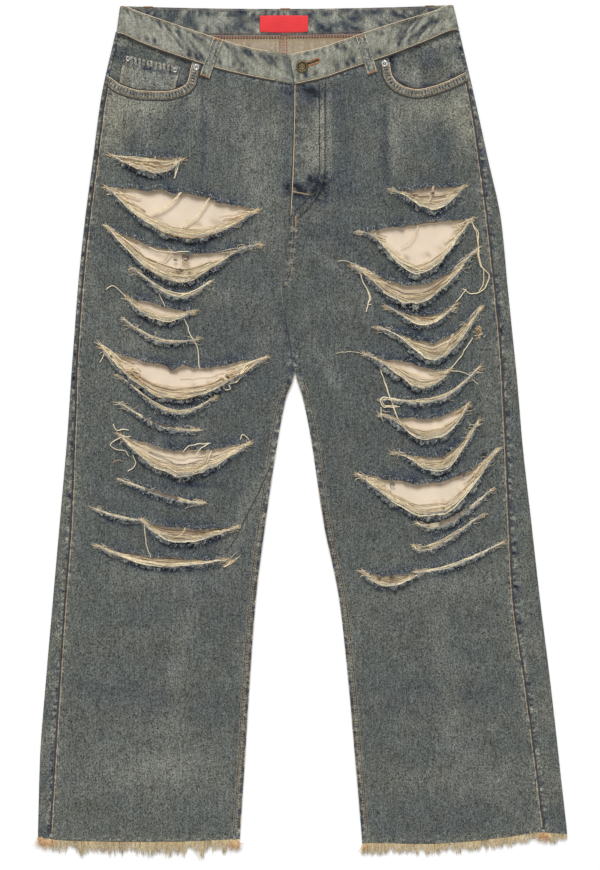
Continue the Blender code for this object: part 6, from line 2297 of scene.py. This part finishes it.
def worn_edges_and_shadows(strands):
    """Lines where cloth is folded, pale where it is rubbed, with dark lines of painted shadow beside the
    outseams, under the band and the mouths, beside the fly and in the creases.
    """

    def line(path, level, tone, radius):
        path = along_path(path, 0.0022)
        x, y = path[:, 0], path[:, 1]
        x = x + 0.0002 * grain(x, y, 0.006, 231)
        strands.add(np.stack([x, y, level(x, y)], axis=-1)[None], radius, tone, sides=4)

    for leg, side, sign in SIDES:
        flat = seam_path(leg, "seam", 0.440, SEAM_FOOT_Y, -sign * 0.0010, 90)
        flat = flat - [sign * 0.0020, 0.0]
        line(flat, waved(on_cloth(leg, 0.0002), 0.0006, 0.006, 232), 0.72, 0.00030)
        # A dark line of painted shadow beside the outseam.
        line(flat + [sign * 0.0024, 0.0], on_cloth(leg, 0.0011), 0.0, 0.00095)
        # Two pale rubbed lines on the band, and at 1.028 a dark line of painted shadow under its low edge.
        for v, tone, radius in ((0.004, 0.80, 0.00042), (0.975, 0.84, 0.00042), (1.028, 0.0, 0.00090)):
            edge = band_line(v)
            half = edge[: len(edge) // 2] if leg == "r" else edge[len(edge) // 2 :]
            starts_at = 0.017 if leg == "r" else -0.0165
            front = half[(half[:, 2] > 0.0066) & (half[:, 0] * sign > starts_at)]
            part = front[np.argsort(front[:, 0])]
            level = flat_at(BAND_FRONT_Z + (0.0006 if v < 0.5 else 0.0010))
            line(part[:, :2], level if v < 1 else on_cloth(leg, 0.0003), tone, radius)
        inseam = seam_path(leg, "inner", 0.090, SEAM_FOOT_Y, sign * 0.0006)
        line(inseam, waved(on_cloth(leg, -0.0003), 0.0003, 0.009, 233), 0.62, 0.00036)
        mouth = mouth_part(leg, 0.002, 0.0, 0.003)
        # The two dark lines are painted shadows below and above the mouth's hem; the third is its rubbed
        # pale edge.
        for off, up, tone, radius in (
            (0.0112, 0.0003, 0.0, 0.00080),
            (-0.0015, -0.0006, 0.0, 0.00080),
            (0.0001, 0.0011, 0.80, 0.00045),
        ):
            line(beside(mouth, sign * off), on_cloth(leg, up), tone, radius)
    # Painted shadows along the creases.
    for radius, crease in CREASE_SHADOWS:
        leg = "r" if crease[0][0] < 0 else "l"
        line(crease, on_cloth(leg, -0.10 * radius), 0.0, radius)
    y = np.linspace(0.4380, 0.2720, 70)
    x = section("inner_l", y) - 0.0002
    line(np.stack([x, y], 1), waved(on_cloth("l", -0.0002), 0.0003, 0.007, 236), 0.70, 0.00050)
    # A dark line of painted shadow beside the fly's edge.
    line(np.stack([x - 0.0012, y], 1), on_cloth("r", 0.0002), 0.0, 0.00070)
    for name, top, foot in FRONT_LOOPS:
        along_x, along_y = step_towards(top, foot)
        for reach in (-0.0056, 0.0056):
            path = [(x - along_y * reach, y + along_x * reach) for x, y in (top, foot)]
            line(path, flat_at(0.0100), 0.86, 0.00040)


def coin_seams(seams):
    """The rows of the coin pocket, across its hem and down its sides."""
    coin = lambda x, y: front_top("r", x, y) - COIN_DROP + 0.0005
    (ax, ay), (bx, by) = COIN_TOP
    (cx, cy), (dx, dy) = COIN_FOOT
    for down in (0.030, 0.125):
        outer = (mix(ax, cx, down) + 0.001, mix(ay, cy, down))
        inner = (mix(bx, dx, down) - 0.001, mix(by, dy, down))
        stitch(seams, [outer, inner], coin, 0.86)
    for inset in (0.030, 0.100):
        for near, far in (((ax, ay), (cx, cy)), ((bx, by), (dx, dy))):
            shift = inset * (bx - ax) * (1 if near[0] == ax else -1)
            stitch(seams, [(near[0] + shift, near[1] - 0.009), (far[0] + shift, far[1])], coin, 0.80)


def loop_tacks(seams, below):
    """The bar tacks at both ends of each belt loop. below is the surface under the loops behind."""
    for name, top, foot in FRONT_LOOPS:
        along_x, along_y = step_towards(top, foot)
        dx, dy = -along_y * 0.0054, along_x * 0.0054
        for (x, y), back in ((top, 0.0014), (foot, -0.0016)):
            x, y = x + along_x * back, y + along_y * back
            bar_tack(seams, (x - dx, y - dy), (x + dx, y + dy), 0.0022, flat_at(0.0098), 0.62)
    half = 0.0055
    for name, x in BACK_LOOPS:
        top = float(back_band_edge("top", x))
        for y, wide, surface, tone in (
            (top - 0.0010, 0.0022, below, 0.60),
            (BACK_LOOP_LOW_Y + 0.0014, 0.0022, below, 0.60),
            (top, 0.0016, flat_at(0.0040), 0.62),
        ):
            bar_tack(seams, (x - half, y), (x + half, y), wide, surface, tone)


def back_seams(seams, below):
    """The rows of the yokes, the back pockets and the centre seam. below is the pockets' surface."""
    lifted = lambda x, y: height("lift", y) - 0.0001
    for leg, side, sign in SIDES:
        far_x = float(section("outer_" + leg, YOKE_SIDE_Y)) - sign * 0.004
        x = np.linspace(CENTRE_BACK_X + sign * 0.001, far_x, 40)
        for off in (0.0022, 0.0078):
            stitch(seams, np.stack([x, yoke_seam(leg, x) + off], 1), lifted, **BACK_ROW)
        near, far, taper = pocket_sides(sign)
        for off in (0.0025, 0.0085):
            inward, side_y = sign * off, BACK_POCKET_SIDE_Y + off * 0.3
            rim = (
                (near + inward, BACK_POCKET_TOP_Y),
                (near + taper + inward, side_y),
                ((near + far) / 2, BACK_POCKET_TIP_Y + off),
                (far - taper - inward, side_y),
                (far - inward, BACK_POCKET_TOP_Y),
            )
            for ends in zip(rim, rim[1:]):
                stitch(seams, ends, below, **BACK_ROW)
        for down in (0.0030, 0.0120):
            y = BACK_POCKET_TOP_Y - down
            stitch(seams, [(near + sign * 0.002, y), (far - sign * 0.002, y)], below, **BACK_ROW)
    for off in (-0.0055, -0.0022):
        stitch(seams, [(CENTRE_BACK_X + off, 0.4900), (CENTRE_BACK_X + off, 0.2450)], lifted, **BACK_ROW)


def inner_seams(seams, inner):
    """The rows that show inside the waist: below the band, and down the centre of the yoke."""
    yoke_in = flat_at(0.0029)
    x = np.linspace(-0.115, 0.090, 60)
    for down in (0.0008, 0.0026):
        stitch(inner, np.stack([x, back_band_edge("low", x) - down], 1), yoke_in, 0.45, thick=1.7)
    path = np.stack([x, back_band_edge("low", x) - 0.0040], 1)
    stitch(seams, path, yoke_in, 0.10, thick=1.3, dash=0.9)
    for reach, tone, thick in ((0.0042, 0.5, 2.0), (0.0014, 1.0, 1.6)):
        for off in (-reach, reach):
            x_at = CENTRE_BACK_X + off
            stitch(inner, [(x_at, BAND_BACK_LOW_Y), (x_at, 0.4600)], yoke_in, tone, thick=thick)


def stitching():
    """Every row of stitches, the bar tacks, the worn edges with their painted shadow lines, and the
    buttonhole's thread.
    """
    seams, inner, edges = Strands(), Strands(), Strands()
    below = flat_at(-0.0001)
    band_seams(seams, inner)
    front_seams(seams)
    coin_seams(seams)
    loop_tacks(seams, below)
    back_seams(seams, below)
    inner_seams(seams, inner)
    worn_edges_and_shadows(edges)
    put_on(seams.build("stitching", sewing_yarn()), "denim")
    red = yarn_look("inner_yarn", shade(110, 70, 70), shade(168, 104, 88), shade(196, 136, 112))
    put_on(inner.build("inner_stitching", red), "denim_back")
    put_on(edges.build("worn_edges_and_shadows", fray_yarn()), "denim")
    put_on(buttonhole_stitches().build("buttonhole", sewing_yarn()), "band_denim")


def buttonhole_stitches():
    """Dense rust thread round the keyhole."""
    strands = Strands()
    outline = np.array(keyhole() + keyhole()[:1])
    path = along_path(outline, 0.00075)
    out = beside(path, -0.0019)
    t = np.array([-0.25, 0.2, 0.7, 1.0])[:, None]
    rows = path[:, None] + (out[:, None] - path[:, None]) * t
    z = BAND_FRONT_Z + BAND_WALL / 2 + np.array([-0.0004, 0.0004, 0.0004, -0.0001])
    paths = np.concatenate([rows, np.broadcast_to(z[:, None], rows.shape[:2] + (1,))], axis=-1)
    strands.add(paths, 0.00042, 0.5 + 0.12 * grain(path[:, 0], path[:, 1], 0.001, 241), sides=4)
    return strands


# ------------------------------------------------------------------ the cut sizes of the legs, worked out but not used
def declare_cloth():
    """Works out the cut area of each front and the reach of each back, and does nothing more with them."""
    y = np.linspace(SECTIONS[0][0], HEM_NOMINAL_Y, 200)
    for leg, side, _ in SIDES:
        front = float(np.trapz(np.abs(section("seam_" + leg, y) - section("inner_" + leg, y)), -y))
        turn_in = np.abs(section("outer_" + leg, y) - section("seam_" + leg, y))
        reach = np.abs(section("outer_" + leg, y) - back_inner(leg, y)) + turn_in + 0.004


# ------------------------------------------------------------------ stage
def floor_piece():
    """A white floor, which shows brighter to the camera than it is."""
    mesh = bpy.data.meshes.new("floor")
    corners = [(x * FLOOR_HALF, y * FLOOR_HALF, FLOOR_Z) for x, y in ((-1, -1), (1, -1), (1, 1), (-1, 1))]
    mesh.from_pydata(corners, [], [(0, 1, 2, 3)])
    look = bpy.data.materials.new("floor_white")
    look.use_nodes = True
    tree = look.node_tree
    seen = add_node(tree, "ShaderNodeLightPath", {}).outputs["Is Camera Ray"]
    glow = add_node(tree, "ShaderNodeMath", {0: seen, 1: FLOOR_GLOW}, operation="MULTIPLY").outputs[0]
    connect(tree, tree.nodes["Principled BSDF"], {
        "Base Color": (FLOOR_GREY, FLOOR_GREY, FLOOR_GREY, 1.0),
        "Roughness": 0.9,
        "Specular IOR Level": 0.0,
        "Emission Color": (1.0, 1.0, 1.0, 1.0),
        "Emission Strength": glow,
    })
    mesh.materials.append(look)
    placed(bpy.data.objects.new("floor", mesh))


def soft_light():
    """An even white world, which shows brighter where it is seen than it lights things."""
    world = bpy.data.worlds.new("soft_light")
    bpy.context.scene.world = world
    world.use_nodes = True
    tree = world.node_tree
    path = add_node(tree, "ShaderNodeLightPath", {})
    seen = path.outputs["Is Camera Ray"]
    for ray in ("Is Glossy Ray", "Is Transmission Ray"):
        inputs = {0: seen, 1: path.outputs[ray]}
        seen = add_node(tree, "ShaderNodeMath", inputs, operation="MAXIMUM").outputs[0]
    inputs = {"Value": seen, "To Min": SKY_ON_THINGS, "To Max": SKY_SEEN}
    level = add_node(tree, "ShaderNodeMapRange", inputs)
    connect(tree, tree.nodes["Background"], {"Color": (1.0, 1.0, 1.0, 1.0), "Strength": level.outputs[0]})


def window_light():
    """The light of a window, which comes from beyond the waist and a little from one side."""
    data = bpy.data.lights.new("window", "SUN")
    data.energy = WINDOW_STRENGTH
    data.angle = math.radians(WINDOW_ANGLE)
    light = placed(bpy.data.objects.new("window", data))
    light.rotation_euler = (*map(math.radians, WINDOW_TILT), 0.0)


def view():
    """The camera, straight above."""
    data = bpy.data.cameras.new("camera")
    data.sensor_fit = "VERTICAL"
    data.sensor_height = SENSOR
    data.lens = SENSOR * CAMERA_DISTANCE / VIEW_HEIGHT
    camera = placed(bpy.data.objects.new("camera", data))
    camera.location = (*VIEW_CENTRE, CAMERA_DISTANCE)
    bpy.context.scene.camera = camera
    bpy.context.scene.view_settings.view_transform = "Standard"


def stage():
    """What the jeans are seen with."""
    floor_piece()
    soft_light()
    window_light()
    view()


# ------------------------------------------------------------------ the add-on
class JEANS_OT_fronts(bpy.types.Operator):
    """Makes the two ripped fronts"""

    bl_idname = "jeans.fronts"
    bl_label = "Fronts"

    def execute(self, context):
        for leg, side, sign in SIDES:
            front_piece(leg, side, sign, context.scene.jeans_sizes)
        return {"FINISHED"}


class JEANS_OT_backs(bpy.types.Operator):
    """Makes the two backs and their yokes, which come round to the outseams"""

    bl_idname = "jeans.backs"
    bl_label = "Backs"

    def execute(self, context):
        hues, sizes = context.scene.jeans_colours, context.scene.jeans_sizes
        rows = rows_down(BACK_FROM_Y, sizes, 2.0)
        shares = (rows[0] - rows) / (rows[0] - rows[-1])
        cream = inside_look("cream_inside", tuple(hues.cream))
        tan = inside_look("tan_inside", tuple(hues.tan), 0.0011, 0.22)
        yoke_shares = np.linspace(0, 1, 16)
        for leg, side, sign in SIDES:
            seam, hem = partial(yoke_seam, leg), lambda x: 0 * x + HEM_NOMINAL_Y
            back_piece(leg, sign, "cloth_back_" + side, "back_" + side, seam, hem, shares, cream)
            top, low = partial(yoke_top, leg), lambda x: yoke_seam(leg, x) + SEAM
            back_piece(leg, sign, "cloth_yoke_" + side, "yoke_" + side, top, low, yoke_shares, tan)
        return {"FINISHED"}


class JEANS_OT_waist(bpy.types.Operator):
    """Makes the waistband, its label and the belt loops"""

    bl_idname = "jeans.waist"
    bl_label = "Waistband, label and loops"

    def execute(self, context):
        waistband()
        waist_label()
        belt_loops()
        return {"FINISHED"}


class JEANS_OT_pockets(bpy.types.Operator):
    """Makes the pocket facings, the mouths' hems, the coin pocket and the back pockets"""

    bl_idname = "jeans.pockets"
    bl_label = "Pockets"

    def execute(self, context):
        pocket_facings()
        mouth_bands()
        coin_pocket()
        back_pockets()
        return {"FINISHED"}


class JEANS_OT_metal(bpy.types.Operator):
    """Makes the button and the rivets"""

    bl_idname = "jeans.metal"
    bl_label = "Button and rivets"

    def execute(self, context):
        button()
        rivets()
        return {"FINISHED"}


class JEANS_OT_frays(bpy.types.Operator):
    """Makes the frayed lips, loose weft and fuzz of the rips"""

    bl_idname = "jeans.frays"
    bl_label = "Frays"

    def execute(self, context):
        torn_pieces()
        return {"FINISHED"}


class JEANS_OT_hems(bpy.types.Operator):
    """Makes the fringes of the cut hems and the seam thread that comes loose there"""

    bl_idname = "jeans.hems"
    bl_label = "Hems"

    def execute(self, context):
        fringes()
        hem_tangles()
        return {"FINISHED"}


class JEANS_OT_stitching(bpy.types.Operator):
    """Makes the stitches, the bar tacks, the buttonhole's thread, and the worn edges with their painted
    shadow lines
    """

    bl_idname = "jeans.stitching"
    bl_label = "Stitching"

    def execute(self, context):
        stitching()
        return {"FINISHED"}


class JEANS_OT_cloth_sizes(bpy.types.Operator):
    """Works out the cut sizes of the legs, which nothing uses"""

    bl_idname = "jeans.cloth_sizes"
    bl_label = "Cloth sizes"

    def execute(self, context):
        declare_cloth()
        return {"FINISHED"}


class JEANS_OT_stage(bpy.types.Operator):
    """Makes the floor, the light and the camera"""

    bl_idname = "jeans.stage"
    bl_label = "Stage"

    def execute(self, context):
        stage()
        return {"FINISHED"}


OPERATORS = (
    JEANS_OT_stage,
    JEANS_OT_fronts,
    JEANS_OT_backs,
    JEANS_OT_waist,
    JEANS_OT_pockets,
    JEANS_OT_metal,
    JEANS_OT_frays,
    JEANS_OT_hems,
    JEANS_OT_stitching,
    JEANS_OT_cloth_sizes,
)


class JEANS_PT_panel(bpy.types.Panel):
    """Lists the pieces of the jeans"""

    bl_label = "Ripped Jeans"
    bl_idname = "JEANS_PT_panel"
    bl_space_type = "VIEW_3D"
    bl_region_type = "UI"
    bl_category = "Jeans"

    def draw(self, context):
        for operator in OPERATORS:
            self.layout.operator(operator.bl_idname)
        for group in (context.scene.jeans_sizes, context.scene.jeans_colours):
            for key in group.__annotations__:
                self.layout.prop(group, key)


CLASSES = (JeansSizes, JeansColours, *OPERATORS, JEANS_PT_panel)


def register():
    for made in CLASSES:
        bpy.utils.register_class(made)
    bpy.types.Scene.jeans_sizes = PointerProperty(type=JeansSizes)
    bpy.types.Scene.jeans_colours = PointerProperty(type=JeansColours)


def unregister():
    del bpy.types.Scene.jeans_colours
    del bpy.types.Scene.jeans_sizes
    for made in reversed(CLASSES):
        bpy.utils.unregister_class(made)


def main():
    register()
    for operator in OPERATORS:
        group, name = operator.bl_idname.split(".")
        getattr(getattr(bpy.ops, group), name)()


if __name__ == "__main__":
    main()
